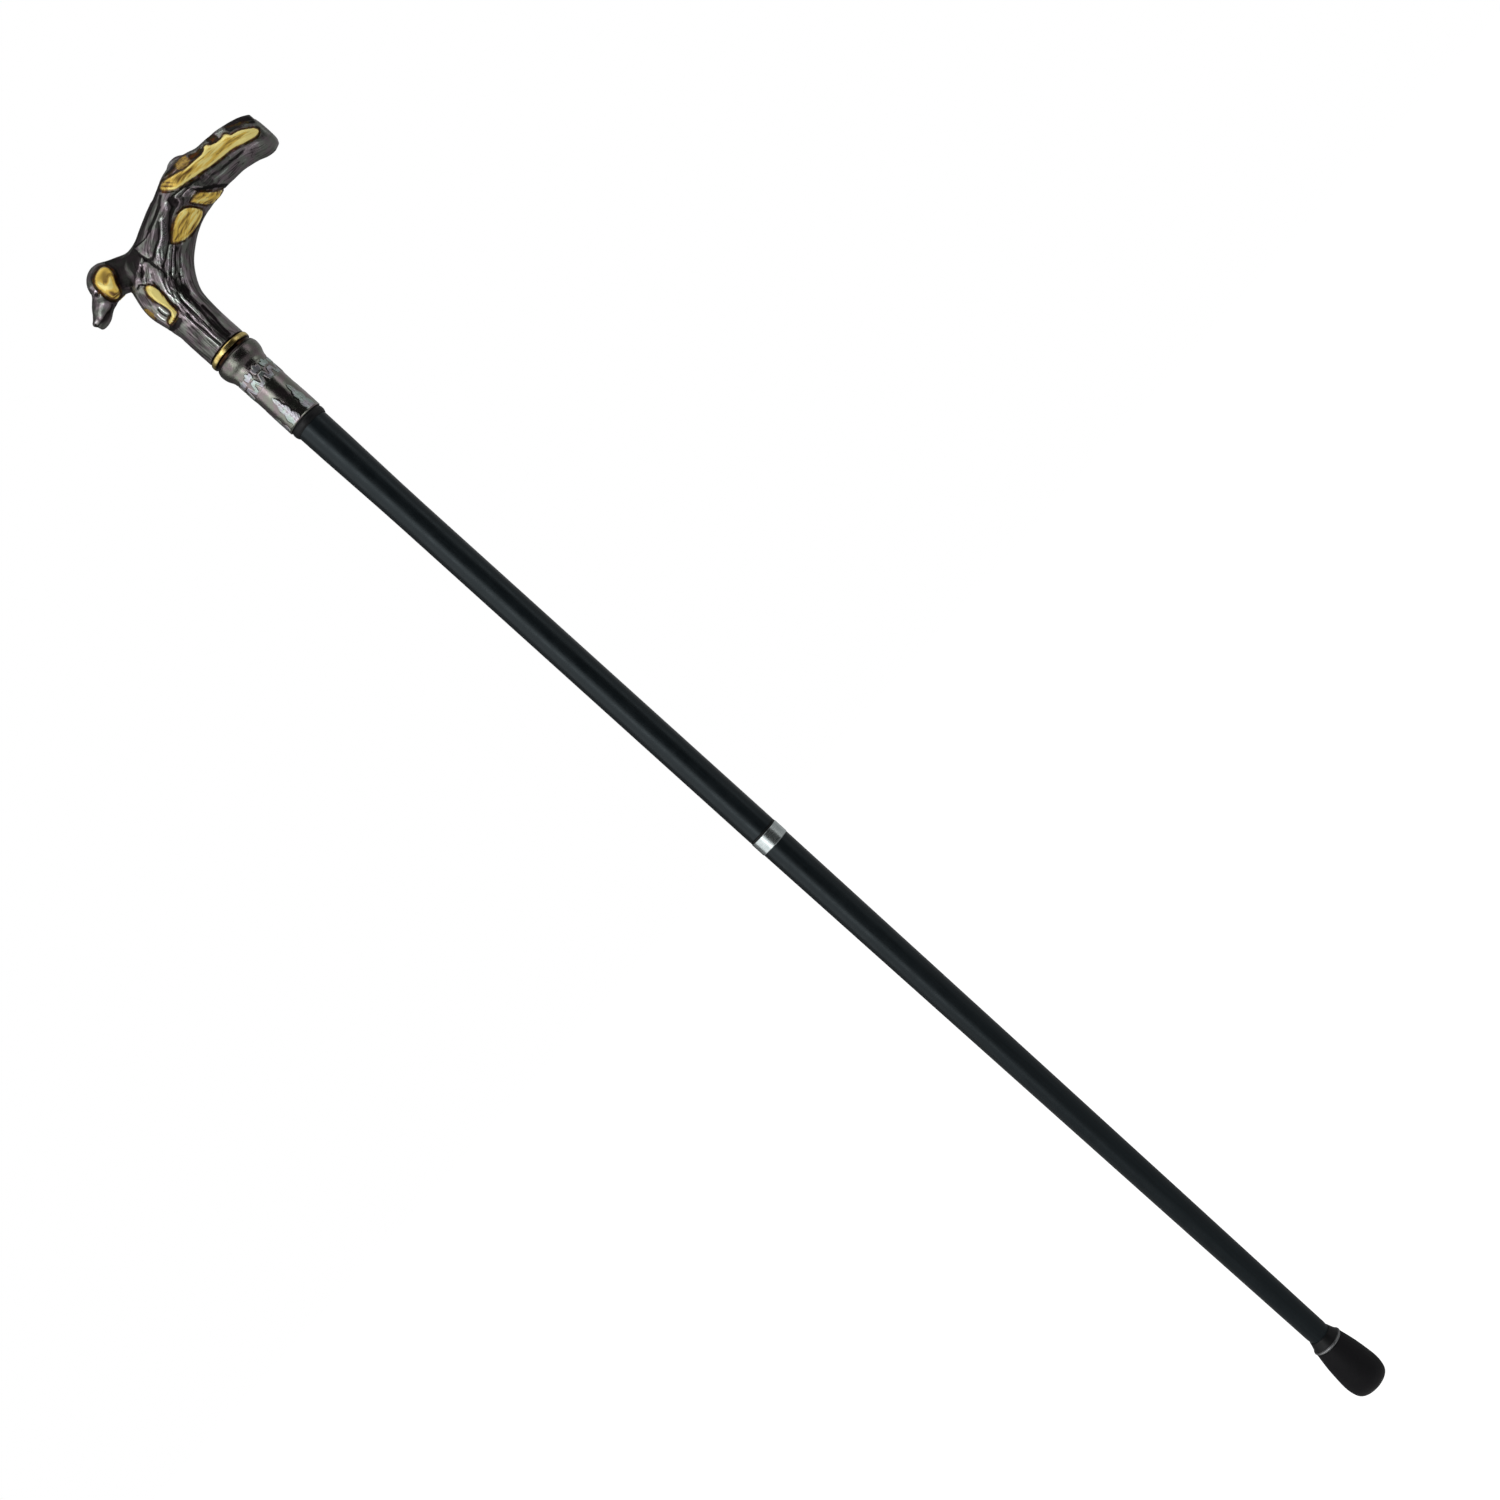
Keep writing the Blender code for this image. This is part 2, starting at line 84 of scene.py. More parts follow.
# Softboxes: place, aim, width, height and brightness
SOFTBOXES = (
    ("softbox_left", (-0.78, -1.11, 0.75), (0, 0, 0.55), 0.28, 1.6, 1.7),
    ("softbox_top", (0.1, -0.45, 1.75), (0.03, 0, 0.8), 0.7, 0.7, 1.2),
    ("softbox_right", (1.3, -0.55, 0.9), (0, 0, 0.6), 0.5, 1, 0.5),
)


# Shader building

class Shader:
    """The nodes of one material, or of the world."""

    def __init__(self, name, kind="materials"):
        self.owner = getattr(bpy.data, kind).new(name)
        self.owner.use_nodes = True
        self.tree = self.owner.node_tree
        self.tree.nodes.clear()

    def add(self, kind, inputs=None, **settings):
        node = self.tree.nodes.new("ShaderNode" + kind)
        for key, value in settings.items():
            setattr(node, key, value)
        for key, value in (inputs or {}).items():
            self.feed(node.inputs[key], value)
        return node

    def feed(self, socket, value):
        if isinstance(value, bpy.types.NodeSocket):
            self.tree.links.new(value, socket)
        else:
            socket.default_value = value

    def place(self):
        """Position on the object, in millimetres."""
        return self.stretched(self.add("TexCoord").outputs["Object"], (1000.0, 1000.0, 1000.0))

    def stretched(self, vector, scale):
        return self.add("Mapping", {"Vector": vector, "Scale": scale}).outputs["Vector"]

    def height(self, place):
        return self.add("SeparateXYZ", {"Vector": place}).outputs["Z"]

    def attribute(self, name, output="Fac"):
        return self.add("Attribute", attribute_name=name).outputs[output]

    def noise(self, vector, scale, detail=3.0, rough=0.55):
        inputs = {"Vector": vector, "Scale": scale, "Detail": detail, "Roughness": rough}
        return self.add("TexNoise", inputs).outputs["Fac"]

    def math(self, kind, a, b=0.0, clamp=False):
        return self.add("Math", {0: a, 1: b}, operation=kind, use_clamp=clamp).outputs[0]

    def times(self, a, b):
        return self.math("MULTIPLY", a, b)

    def swing(self, value, middle, amount):
        """Value's distance from its middle, scaled."""
        return self.times(self.math("SUBTRACT", value, middle), amount)

    def remap(self, value, low, high, to_low=0.0, to_high=1.0):
        """Value between low and high, carried smoothly over to the new range."""
        inputs = {"Value": value, "From Min": low, "From Max": high,
                  "To Min": to_low, "To Max": to_high}
        return self.add("MapRange", inputs, interpolation_type="SMOOTHSTEP").outputs["Result"]

    def mix(self, factor, a, b, kind="RGBA", how="MIX"):
        node = self.add("Mix", data_type=kind, blend_type=how)
        for key, value in (("Factor", factor), ("A", rgba(a)), ("B", rgba(b))):
            self.feed(node.inputs[key], value)
        return node.outputs["Result"]

    def blend(self, factor, a, b):
        return self.mix(factor, a, b, "FLOAT")

    def bump(self, height, depth, below=None):
        """Relief of the given depth in millimetres."""
        inputs = {"Height": height, "Strength": 1.0, "Distance": depth * MM}
        if below is not None:
            inputs["Normal"] = below
        return self.add("Bump", inputs).outputs["Normal"]

    def surface(self, **inputs):
        """The Principled shader on the output. Underscores stand for spaces in socket names."""
        sockets = {key.replace("_", " "): rgba(value) for key, value in inputs.items()}
        return self.output(self.add("BsdfPrincipled", sockets).outputs["BSDF"])

    def output(self, shader):
        self.add("OutputMaterial", {"Surface": shader})
        return self.owner


def rgba(value):
    return (*value, 1.0) if isinstance(value, tuple) and len(value) == 3 else value


# Camera, stage and light

def linked(name, data):
    thing = bpy.data.objects.new(name, data)
    bpy.context.collection.objects.link(thing)
    return thing


def photo_camera():
    eye = CAMERA_AT * MM
    forward = (CAMERA_AIM * MM - eye).normalized()
    level = forward.cross(UP).normalized()
    upright = level.cross(forward)
    cos, sin = math.cos(CAMERA_ROLL), math.sin(CAMERA_ROLL)
    right = cos * level + sin * upright
    top = cos * upright - sin * level
    data = bpy.data.cameras.new("photo_camera")
    data.sensor_width = SENSOR_WIDTH
    data.lens = SENSOR_WIDTH * CAMERA_FOCAL_PIXELS / PHOTO_PIXELS
    camera = linked("photo_camera", data)
    pose = Matrix((right, top, -forward)).transposed().to_4x4()
    pose.translation = eye
    camera.matrix_world = pose
    bpy.context.scene.camera = camera


def seen_directly(s):
    """1 for rays that see the background: from the camera, by reflection or through glass."""
    path = s.add("LightPath").outputs
    seen = s.math("ADD", path["Is Camera Ray"], path["Is Glossy Ray"])
    return s.math("ADD", seen, path["Is Transmission Ray"], clamp=True)


def white_world():
    s = Shader("studio", "worlds")
    strength = s.blend(seen_directly(s), FILL_LEVEL, 1.0)
    light = s.add("Background", {"Color": rgba((1.0, 1.0, 1.0)), "Strength": strength})
    s.add("OutputWorld", {"Surface": light.outputs["Background"]})
    bpy.context.scene.world = s.owner


def pale_floor():
    bm = bmesh.new()
    bmesh.ops.create_grid(bm, x_segments=1, y_segments=1, size=0.5 * FLOOR_SIZE_M)
    bmesh.ops.translate(bm, vec=(0.0, 0.0, FLOOR_AT_M), verts=bm.verts)
    link_object("floor", bm, floor_material())


def floor_material():
    s = Shader("pale_floor")
    matte = s.add("BsdfDiffuse", {"Color": rgba((0.9, 0.9, 0.9))})
    glow = s.add("Emission", {"Strength": s.times(seen_directly(s), FLOOR_LIFT)})
    both = s.add("AddShader", {0: matte.outputs["BSDF"], 1: glow.outputs["Emission"]})
    return s.output(both.outputs["Shader"])


def card(name, bm, level):
    """Stage card that only reflections see."""
    s = Shader(name)
    glow = s.add("Emission", {"Strength": level})
    sheet = link_object(name, bm, s.output(glow.outputs["Emission"]))
    for kind in ("camera", "diffuse", "transmission", "shadow", "volume_scatter"):
        setattr(sheet, "visible_" + kind, False)


def upright_card(name, start, end, level):
    bm = bmesh.new()
    rows = []
    for azimuth in np.radians(np.linspace(start, end, 13)):
        x, y = CARD_RADIUS_M * math.sin(azimuth), -CARD_RADIUS_M * math.cos(azimuth)
        rows.append([bm.verts.new((x, y, z)) for z in (CARD_LOW_M, CARD_HIGH_M)])
    for (a, b), (c, d) in zip(rows, rows[1:]):
        bm.faces.new((a, c, d, b))
    card(name, bm, level)


def level_card(name, height, inner, outer, level):
    bm = bmesh.new()
    rows = []
    for azimuth in np.radians(np.arange(0.0, 360.0, 7.5)):
        x, y = math.sin(azimuth), -math.cos(azimuth)
        radii = (outer, inner) if inner else (outer,)
        rows.append([bm.verts.new((r * x, r * y, height)) for r in radii])
    if inner:
        for i, (a, b) in enumerate(rows):
            c, d = rows[i - 1]
            bm.faces.new((a, c, d, b))
    else:
        bm.faces.new([row[0] for row in rows])
    card(name, bm, level)


def softbox(name, place, aim, width, height, level):
    """An area lamp of the given brightness."""
    data = bpy.data.lights.new(name, "AREA")
    data.shape = "RECTANGLE"
    data.size = width
    data.size_y = height
    data.energy = level * math.pi * width * height
    lamp = linked(name, data)
    lamp.location = place
    lamp.rotation_euler = (Vector(aim) - Vector(place)).to_track_quat("-Z", "Y").to_euler()
    lamp.visible_camera = False


def set_stage():
    bpy.context.scene.view_settings.view_transform = "Standard"
    photo_camera()
    white_world()
    pale_floor()
    for maker, table in ((upright_card, CARDS), (level_card, LEVEL_CARDS), (softbox, SOFTBOXES)):
        for row in table:
            maker(*row)


# Mesh building

def write_mesh(bm, mesh):
    bmesh.ops.recalc_face_normals(bm, faces=bm.faces)
    bm.to_mesh(mesh)
    bm.free()


def link_object(name, bm, mat):
    """Turn a bmesh in metres into an object."""
    mesh = bpy.data.meshes.new(name)
    write_mesh(bm, mesh)
    mesh.materials.append(mat)
    return linked(name, mesh)


def link_mesh(mesh, mat, sharp=40.0):
    mesh.shade_smooth()
    mesh.set_sharp_from_angle(angle=math.radians(sharp))
    mesh.materials.clear()
    mesh.materials.append(mat)
    return linked(mesh.name, mesh)


def stand_for(piece, node, body):
    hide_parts(node)
    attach(piece, body)


def box_mm(node):
    low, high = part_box(node)
    return Vector(low) / MM, Vector(high) / MM


def through(points, steps=4, closed=False):
    """Points on the smooth curve that passes through the given ones."""
    pts = np.asarray(points, dtype=float)
    if closed:
        padded = np.vstack((pts[-1], pts, pts[:2]))
    else:
        padded = np.vstack((2 * pts[0] - pts[1], pts, 2 * pts[-1] - pts[-2]))
    curve = []
    for a, b, c, d in zip(padded, padded[1:], padded[2:], padded[3:]):
        for t in np.arange(steps) / steps:
            curve.append(0.5 * (2 * b + (c - a) * t + (2 * a - 5 * b + 4 * c - d) * t ** 2
                                + (3 * b - a - 3 * c + d) * t ** 3))
    if not closed:
        curve.append(pts[-1])
    return np.array(curve)


def revolve(radii, heights, columns):
    """Vertex rows of a turned or carved tube. radii is one value per row, or one per vertex."""
    turn = np.arange(columns) * math.tau / columns
    radii = np.asarray(radii, dtype=float)
    if radii.ndim == 1:
        radii = np.repeat(radii[:, None], columns, axis=1)
    heights = np.repeat(np.asarray(heights, dtype=float)[:, None], columns, axis=1)
    return np.stack((radii * np.sin(turn), -radii * np.cos(turn), heights), axis=-1)


def tube_mesh(name, rows, closed=True):
    """A mesh from vertex rows. It closes on itself, or gets a flat face at each end."""
    count, columns = rows.shape[:2]
    index = np.arange(count * columns).reshape(count, columns)
    low = index if closed else index[:-1]
    high = np.roll(index, -1, axis=0) if closed else index[1:]
    quads = np.stack((low, np.roll(low, -1, axis=1), np.roll(high, -1, axis=1), high), axis=-1)
    faces = quads.reshape(-1, 4).tolist()
    if not closed:
        faces.append(index[0][::-1].tolist())
        faces.append(index[-1].tolist())
    mesh = bpy.data.meshes.new(name)
    mesh.from_pydata((rows.reshape(-1, 3) * MM).tolist(), [], faces)
    bm = bmesh.new()
    bm.from_mesh(mesh)
    write_mesh(bm, mesh)
    return mesh


def held(outline, margin=0.08):
    """An outline with extra points near the ends of its long spans, so that shading stays true."""
    outline = np.asarray(outline, dtype=float)
    kept = []
    for a, b in zip(outline, np.roll(outline, -1, axis=0)):
        kept.append(a)
        length = np.linalg.norm(b - a)
        if length > 4 * margin:
            kept.append(a + (b - a) * margin / length)
            kept.append(b - (b - a) * margin / length)
    return np.array(kept)


def turned(name, outline, mat, columns=128):
    """A fine turned piece from an outline of (radius, height), closed along its bore."""
    radii, heights = held(outline).T
    return link_mesh(tube_mesh(name, revolve(radii, heights, columns)), mat)


def set_attribute(mesh, name, values):
    kind = "FLOAT_VECTOR" if values.ndim == 2 else "FLOAT"
    layer = mesh.attributes.new(name, kind, "POINT")
    layer.data.foreach_set("vector" if kind == "FLOAT_VECTOR" else "value", values.ravel())


def soft_step(value, low, high):
    t = np.clip((value - low) / (high - low), 0, 1)
    return t * t * (3 - 2 * t)


def ridge(distance, width):
    """1 on a line, fading out over its width."""
    return np.exp(-(distance / width) ** 2)


# Plain finishes

def lacquer():
    """Satin black lacquer over hardwood, with the grain faintly telegraphing through."""
    s = Shader("black_lacquer")
    place = s.place()
    grain = s.noise(s.stretched(place, (0.9, 0.9, 0.03)), 1.0, 5.0, 0.6)
    peel = s.noise(place, 0.9, 2.0)
    tone = s.mix(s.remap(grain, 0.3, 0.7), (0.003, 0.0048, 0.0062), (0.0052, 0.0082, 0.0104))
    rough = s.remap(s.noise(place, 0.12), 0.3, 0.7, 0.3, 0.4)
    return s.surface(Base_Color=tone, Roughness=rough, Normal=s.bump(peel, 0.02, s.bump(grain, 0.03)),
                     Specular_IOR_Level=0.42, Specular_Tint=(0.8, 0.94, 1.0))


def rubber():
    """Moulded rubber with a fine matte skin and a little dust where it meets the floor."""
    s = Shader("rubber")
    place = s.place()
    skin = s.noise(place, 2.6, 4.0, 0.65)
    cloud = s.noise(place, 0.16)
    dust = s.times(s.remap(s.height(place), 9.0, 0.5), s.remap(cloud, 0.45, 0.75))
    tone = s.mix(cloud, (0.0042, 0.004, 0.0052), (0.0072, 0.0069, 0.0086))
    tone = s.mix(s.times(dust, 0.4), tone, (0.03, 0.028, 0.027))
    rough = s.remap(cloud, 0.3, 0.7, 0.52, 0.66)
    return s.surface(Base_Color=tone, Roughness=rough, Normal=s.bump(skin, 0.06), Specular_IOR_Level=0.2)


def turned_metal(name, dark, light, rough, roughest):
    """Metal with fine lathe lines round it."""
    s = Shader(name)
    place = s.place()
    lines = s.noise(s.stretched(place, (0.08, 0.08, 6.0)), 1.0, 4.0, 0.7)
    tone = s.mix(s.remap(s.noise(place, 0.35), 0.3, 0.75), dark, light)
    gloss = s.blend(s.remap(lines, 0.3, 0.7), rough, roughest)
    return s.surface(Base_Color=tone, Metallic=1.0, Roughness=gloss, Normal=s.bump(lines, 0.012))


def black_fitting():
    """Semi-matte black plastic with a fine moulded skin."""
    s = Shader("black_fitting")
    place = s.place()
    skin = s.noise(place, 3.0)
    cloud = s.noise(place, 0.3)
    tone = s.mix(cloud, (0.0036, 0.004, 0.0048), (0.0064, 0.007, 0.008))
    return s.surface(Base_Color=tone, Roughness=s.remap(cloud, 0.3, 0.7, 0.38, 0.5),
                     Normal=s.bump(skin, 0.03), Specular_IOR_Level=0.3)


def plated_gold(low, high):
    """Polished gold plating between two heights, with painted shade in dark brown along its top edge and
    at its foot.
    """
    s = Shader("gold")
    place = s.place()
    cloud = s.noise(place, 0.45, 4.0)
    fine = s.noise(place, 2.2)
    height = s.math("ADD", s.height(place), s.swing(cloud, 0.5, 0.9))
    # Painted shade: the plating turns dark brown over its lowest two millimetres, round the groove, and
    # within a millimetre of its top.
    inner = s.remap(height, low + 1.5, low + 2.5)
    edge = s.math("MINIMUM", inner, s.remap(height, high + 0.1, high - 1.1))
    tone = s.mix(s.remap(cloud, 0.3, 0.7), (0.66, 0.47, 0.14), (0.9, 0.74, 0.3))
    tone = s.mix(edge, (0.032, 0.015, 0.008), tone)
    return s.surface(Base_Color=tone, Metallic=1.0, Roughness=s.remap(fine, 0.3, 0.7, 0.2, 0.3),
                     Normal=s.bump(fine, 0.008))


def dress_cad(finishes):
    """Give the CAD nodes that stay their finishes."""
    for node, mat in finishes.items():
        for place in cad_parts[node].material_slots:
            place.material = mat


def antique_nickel(name, shades, gloss, depth, skin_depth, gilt):
    """Nickel with dark recesses and rubbed ridges, each with its own colour and roughness.

    The mesh carries "tone", the carving's light and dark as a height in millimetres, painted highlights
    and painted shade included, "grain", a place along the strands, and, where parts are gilt, "gold",
    the distance inside their outlines.
    """
    s = Shader(name)
    place = s.place()
    strand = s.noise(s.attribute("grain", "Vector"), 1.7, 4.0, 0.65)
    cloud = s.noise(place, 0.2)
    grit = s.noise(place, 2.4)
    level = s.math("ADD", s.attribute("tone"), s.swing(strand, 0.5, 0.7 * depth))
    open_metal = s.remap(level, -1.05 * depth, -0.12 * depth)
    rubbed = s.remap(level, 0.08 * depth, 1.0 * depth)
    recess, plain, raised = shades
    bare = s.mix(rubbed, s.mix(open_metal, recess, plain), raised)
    tint = s.mix(s.remap(cloud, 0.4, 0.6), (1.0, 0.9, 0.99), (0.89, 1.0, 0.92))
    colour = s.mix(1.0, tint, bare, how="MULTIPLY")
    rough = s.blend(rubbed, s.blend(open_metal, gloss[0], gloss[1]), gloss[2])
    rough = s.times(rough, s.remap(grit, 0.3, 0.7, 0.85, 1.15))
    metal = 1.0
    if gilt:
        ragged = s.math("ADD", s.noise(place, 0.8), s.times(grit, 0.4))
        depth_in = s.math("ADD", s.attribute("gold"), s.swing(ragged, 0.7, 1.5))
        inside = s.remap(depth_in, -0.18, 0.18)
        beside = s.times(s.remap(depth_in, -1.9, -0.4), s.math("SUBTRACT", 0.9, rubbed))
        blotch = s.noise(place, 0.5)
        stain = s.mix(s.remap(blotch, 0.4, 0.6), (0.15, 0.045, 0.01), (0.1, 0.072, 0.012))
        beside = s.times(beside, s.remap(s.noise(place, 0.33), 0.35, 0.65, 0.25, 1.0))
        colour = s.mix(beside, colour, stain)
        # Gilt turns brown where the tone is low, from wear, patina and painted shade, and near its
        # outlines.
        wear_and_shade = s.times(s.remap(level, -0.62, 0.14), s.remap(depth_in, 0.0, 1.1, 0.2, 1.0))
        wear_and_shade = s.times(wear_and_shade, s.remap(strand, 0.36, 0.47, 0.35, 1.0))
        leaf = s.mix(wear_and_shade, (0.12, 0.05, 0.008), (0.88, 0.6, 0.105))
        # Where the tone is high the gilt turns pale: rubbed high spots and painted highlights.
        leaf = s.mix(s.remap(level, 0.1, 0.5), leaf, (1.0, 0.85, 0.29))
        colour = s.mix(inside, colour, leaf)
        rough = s.blend(inside, rough, s.remap(grit, 0.3, 0.7, 0.3, 0.42))
        metal = s.blend(inside, 1.0, 0.28)
    skin = s.bump(grit, skin_depth, s.bump(strand, 0.25 * depth))
    return s.surface(Base_Color=colour, Metallic=metal, Roughness=rough, Normal=skin)


# Turned trim and shafts

# Radius of the innermost points of a piece without a bore
AXIS = 0.02
SEAT_GAP = 0.3
# Hubs reach this far into the gaps between seated pieces, so no light shows through
SEAT_FILL = 0.27
STUD_HOLE = 4.35
STUD_BORE = 5.25
SHAFT_R_FOOT = 6.6


def span(node):
    """A turned CAD node's outer radius, foot and top."""
    low, high = box_mm(node)
    return high.x, low.z, high.z


def cad_side(node, least):
    """The outer (radius, height) points of a turned CAD node, from the bottom up."""
    widest = {}
    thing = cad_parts[node]
    for vert in thing.data.vertices:
        x, y, z = (thing.matrix_world @ vert.co) / MM
        key = round(z, 2)
        widest[key] = max(widest.get(key, 0), math.hypot(x, y))
    return [(widest[z], z) for z in sorted(widest) if widest[z] > least]


def upper_shaft(mat):
    """The upper section, open below for the socket and above for the insert."""
    _, base, top = span("upper_shaft")
    socket_r, _, socket_top = span("joint_socket")
    insert_r, insert_base, _ = span("top_insert")
    flange, roof = socket_r + SEAT_GAP, socket_top + SEAT_GAP
    pocket = 6.8
    insert, floor = insert_r + SEAT_GAP, insert_base - SEAT_GAP
    outline = [*cad_side("upper_shaft", 8.3)[::-1],
               (flange, base), (flange, base + 1.8), (pocket, base + 1.8),
               (pocket, roof), (AXIS, roof), (AXIS, floor), (insert, floor), (insert, top)]
    stand_for(turned("shaft_upper", outline, mat), "upper_shaft", "upper_cane")


def lower_shaft(mat):
    """The lower section, with its tenon inside the band and the screw's bore."""
    floor = span("joint_stud")[1] - SEAT_GAP
    side = cad_side("lower_shaft", 6.2)
    foot = span("lower_shaft")[1]
    outline = [*side[::-1], (SHAFT_R_FOOT - 0.6, foot), (AXIS, foot), (AXIS, floor),
               (STUD_BORE, floor), (STUD_BORE, side[-1][1])]
    stand_for(turned("shaft_lower", outline, mat), "lower_shaft", "lower_cane")


def gold_ring():
    r, base, top = span("gold_ring")
    groove = base + 1.2
    hub = r - 1.2
    side = through(((r - 1.1, top), (r - 0.2, top - 0.7), (r, top - 1.9), (r - 0.25, groove + 0.5),
                    (hub, groove)), 6)
    roof, floor = top + SEAT_FILL, base - SEAT_FILL
    outline = [(STUD_HOLE, roof), (hub - 0.3, roof), (hub - 0.3, top), *side, (hub, floor),
               (STUD_HOLE, floor)]
    stand_for(turned("ring", outline, plated_gold(base, top), 160), "gold_ring", "upper_cane")


def black_lip(mat):
    r, base, top = span("collar_base_ring")
    bore = span("upper_shaft")[0] + SEAT_GAP
    side = through(((r - 0.45, top), (r, top - 1.3), (r - 0.05, base + 1.4), (r - 0.6, base)), 6)
    lip = turned("lip", [*side, (bore, base), (bore, top)], mat)
    stand_for(lip, "collar_base_ring", "upper_cane")


def joint_washer(mat):
    r, base, top = span("joint_washer")
    edge = 0.12
    roof, floor = top + SEAT_FILL, base - SEAT_FILL
    washer = turned("washer", [(STUD_BORE, roof), (r - edge, roof), (r, roof - edge), (r, floor + edge),
                               (r - edge, floor), (STUD_BORE, floor)], mat)
    stand_for(washer, "joint_washer", "joint_washer_body")


def joint_band(mat):
    r, base, top = span("joint_band")
    edge = 0.35
    upper = through(((r - edge, top), (r - 0.1, top - 0.1), (r, top - edge)))
    lower = through(((r, base + edge), (r - 0.1, base + 0.1), (r - edge, base)))
    wall = r - 1.2
    plate = top - 1.5
    outline = [(STUD_BORE, top), *upper, *lower, (wall, base), (wall, plate), (STUD_BORE, plate)]
    stand_for(turned("band", outline, mat, 160), "joint_band", "lower_cane")


def joint_stud(mat):
    """The joint's screw, with its thread cut all the way down to the band."""
    r, base, top = span("joint_stud")
    pitch = 1.5
    depth = 0.8
    columns = 64
    heights = np.linspace(base, top, 420)
    turn = np.arange(columns) / columns
    phase = (heights[:, None] / pitch - turn[None, :]) % 1
    cut = soft_step(1 - np.abs(2 * phase - 1), 0.15, 0.85)
    chamfer = np.clip(top - heights, 0, 1) - 1
    radii = np.minimum(r - depth * cut, r + chamfer[:, None])
    stud = link_mesh(tube_mesh("stud", revolve(radii, heights, columns), False), mat, sharp=60)
    stand_for(stud, "joint_stud", "lower_cane")


def foot_trim(black, bright):
    """The bushing above the tip and the thin ring under it."""
    r, base, top = span("tip_bushing")
    bore = SHAFT_R_FOOT + SEAT_GAP
    cone = through(((bore + 0.08, top), (bore + 0.7, top - 2), (r - 0.35, base + 0.7), (r, base)), 6)
    bushing = turned("bushing", [*cone, (bore, base), (bore, top)], black)
    stand_for(bushing, "tip_bushing", "lower_cane")
    r, base, top = span("ferrule_ring")
    edge = through(((r - 0.3, top), (r, 0.5 * (base + top)), (r - 0.3, base)), 6)
    hub = r - 0.7
    roof, floor = top + SEAT_FILL, base - SEAT_FILL
    outline = [(bore, roof), (hub, roof), (hub, top), *edge, (hub, base), (hub, floor), (bore, floor)]
    stand_for(turned("foot_ring", outline, bright), "ferrule_ring", "lower_cane")


def rubber_tip(mat):
    """The moulded tip, with its parting line, rounded mouth and shallow rings in the sole."""
    r, _, top = span("ferrule")
    bulb = 9.4
    rise = top - bulb
    mouth = r - 2.95
    bore = SHAFT_R_FOOT + 0.35
    floor = 6
    side = through(((mouth - 0.7, top), (mouth - 0.12, top - 0.25), (mouth, top - 0.9),
                    (mouth + 0.55 * (r - mouth), bulb + 0.6 * rise), (r - 0.35, bulb + 0.25 * rise),
                    (r, bulb), (r - 0.6, 0.5 * bulb), (0.5 * (r + 6.5) + 0.9, 0.18 * bulb),
                    (7.4, 0.3), (6.5, 0)), 8)
    sole = []
    for radius in (5.4, 3.6, 1.8):
        sole += [(radius + 0.35, 0), (radius + 0.2, 0.35), (radius - 0.2, 0.35), (radius - 0.35, 0)]
    inner = [(AXIS, 0), (AXIS, floor), (bore, floor), (bore, top - 0.5), (bore + 0.3, top)]
    outline = np.array([*side, *sole, *inner])
    columns = 144
    turn = np.arange(columns) * math.tau / columns
    seam = ridge((turn[None, :] + 0.6) % math.pi - 0.5 * math.pi, 0.02)
    on_side = np.arange(len(outline)) < len(side)
    radii = outline[:, :1] - 0.1 * seam * on_side[:, None]
    tip = link_mesh(tube_mesh("tip_rubber", revolve(radii, outline[:, 1], columns)), mat)
    stand_for(tip, "ferrule", "tip")


# Collar sleeve

SLEEVE_COLUMNS = 360
SLEEVE_ROWS = 280
SLEEVE_SINK = 0.28
SLEEVE_GRAIN_R = 11
LID_DEPTH = 9
BEAD_HEIGHT = 12
LEAF_BAND = (23.8, 17.2)
TOP_SPRAY = (17, 11.8)
LEAVES_ROUND = 11
FOOT_LEAVES = 6
FOOT_LEAF_HEIGHT = 18
LEAF_TURN = math.radians(11.4)


def zigzag_leaves(across, drop, pitch):
    """A running zigzag of narrow veined leaves with a bud in each bay."""
    u = across / pitch % 1 - 0.5
    v = 2 * drop / (LEAF_BAND[0] - LEAF_BAND[1]) - 1
    slope = v - 1 + 4 * np.abs(u)
    blade = 0.9 - 0.22 * np.cos(2 * math.tau * u)
    body = soft_step(blade - np.abs(slope), 0, 0.45)
    ribs = 0.5 + 0.5 * np.cos(math.tau * (drop / 1.1 - 1.6 * np.abs(u) * pitch))
    low_bud = soft_step(1 - (5 * u) ** 2 - (2.2 * (v - 0.55)) ** 2, 0, 0.6)
    edge = 0.5 - np.abs(u)
    high_bud = soft_step(1 - (5 * edge) ** 2 - (2.2 * (v + 0.55)) ** 2, 0, 0.6)
    leaves = body * (0.85 - 0.4 * ridge(slope, 0.14) + 0.25 * ribs)
    return np.maximum(leaves, 0.8 * np.maximum(low_bud, high_bud))


def spray(across, rise, pitch, height):
    """Small three-lobed sprays that point up."""
    u = (across / pitch + 0.5) % 1 - 0.5
    v = rise / height
    middle = soft_step(1 - (4.2 * u) ** 2 - (2 * v - 1) ** 2, 0, 0.5)
    arm = np.abs(u) - 0.22 - 0.16 * v
    side = soft_step(1 - (6 * arm) ** 2 - (2.4 * v - 0.9) ** 2, 0, 0.5)
    return np.maximum(middle, 0.85 * side)


def foot_leaves(across, rise, pitch):
    """Tall scalloped leaves that stand on the sleeve's lower end."""
    place = (across / pitch) % 1 - 0.5
    u = np.abs(place) * pitch
    v = np.clip(rise / FOOT_LEAF_HEIGHT, 0, 1.2)
    scallop = np.abs(np.sin(math.pi * (3 * v + 0.12 * np.sign(place))))
    half = pitch * (0.39 * np.clip(1 - v, 0, 1) ** 0.55 * (0.8 + 0.3 * scallop))
    body = soft_step(half - u, 0, 1.2)
    ribs = 0.5 + 0.5 * np.cos(math.tau * (rise - 1.7 * u) / 2.6)
    return body * (0.72 - 0.3 * ridge(u, 0.3) + 0.14 * ribs)


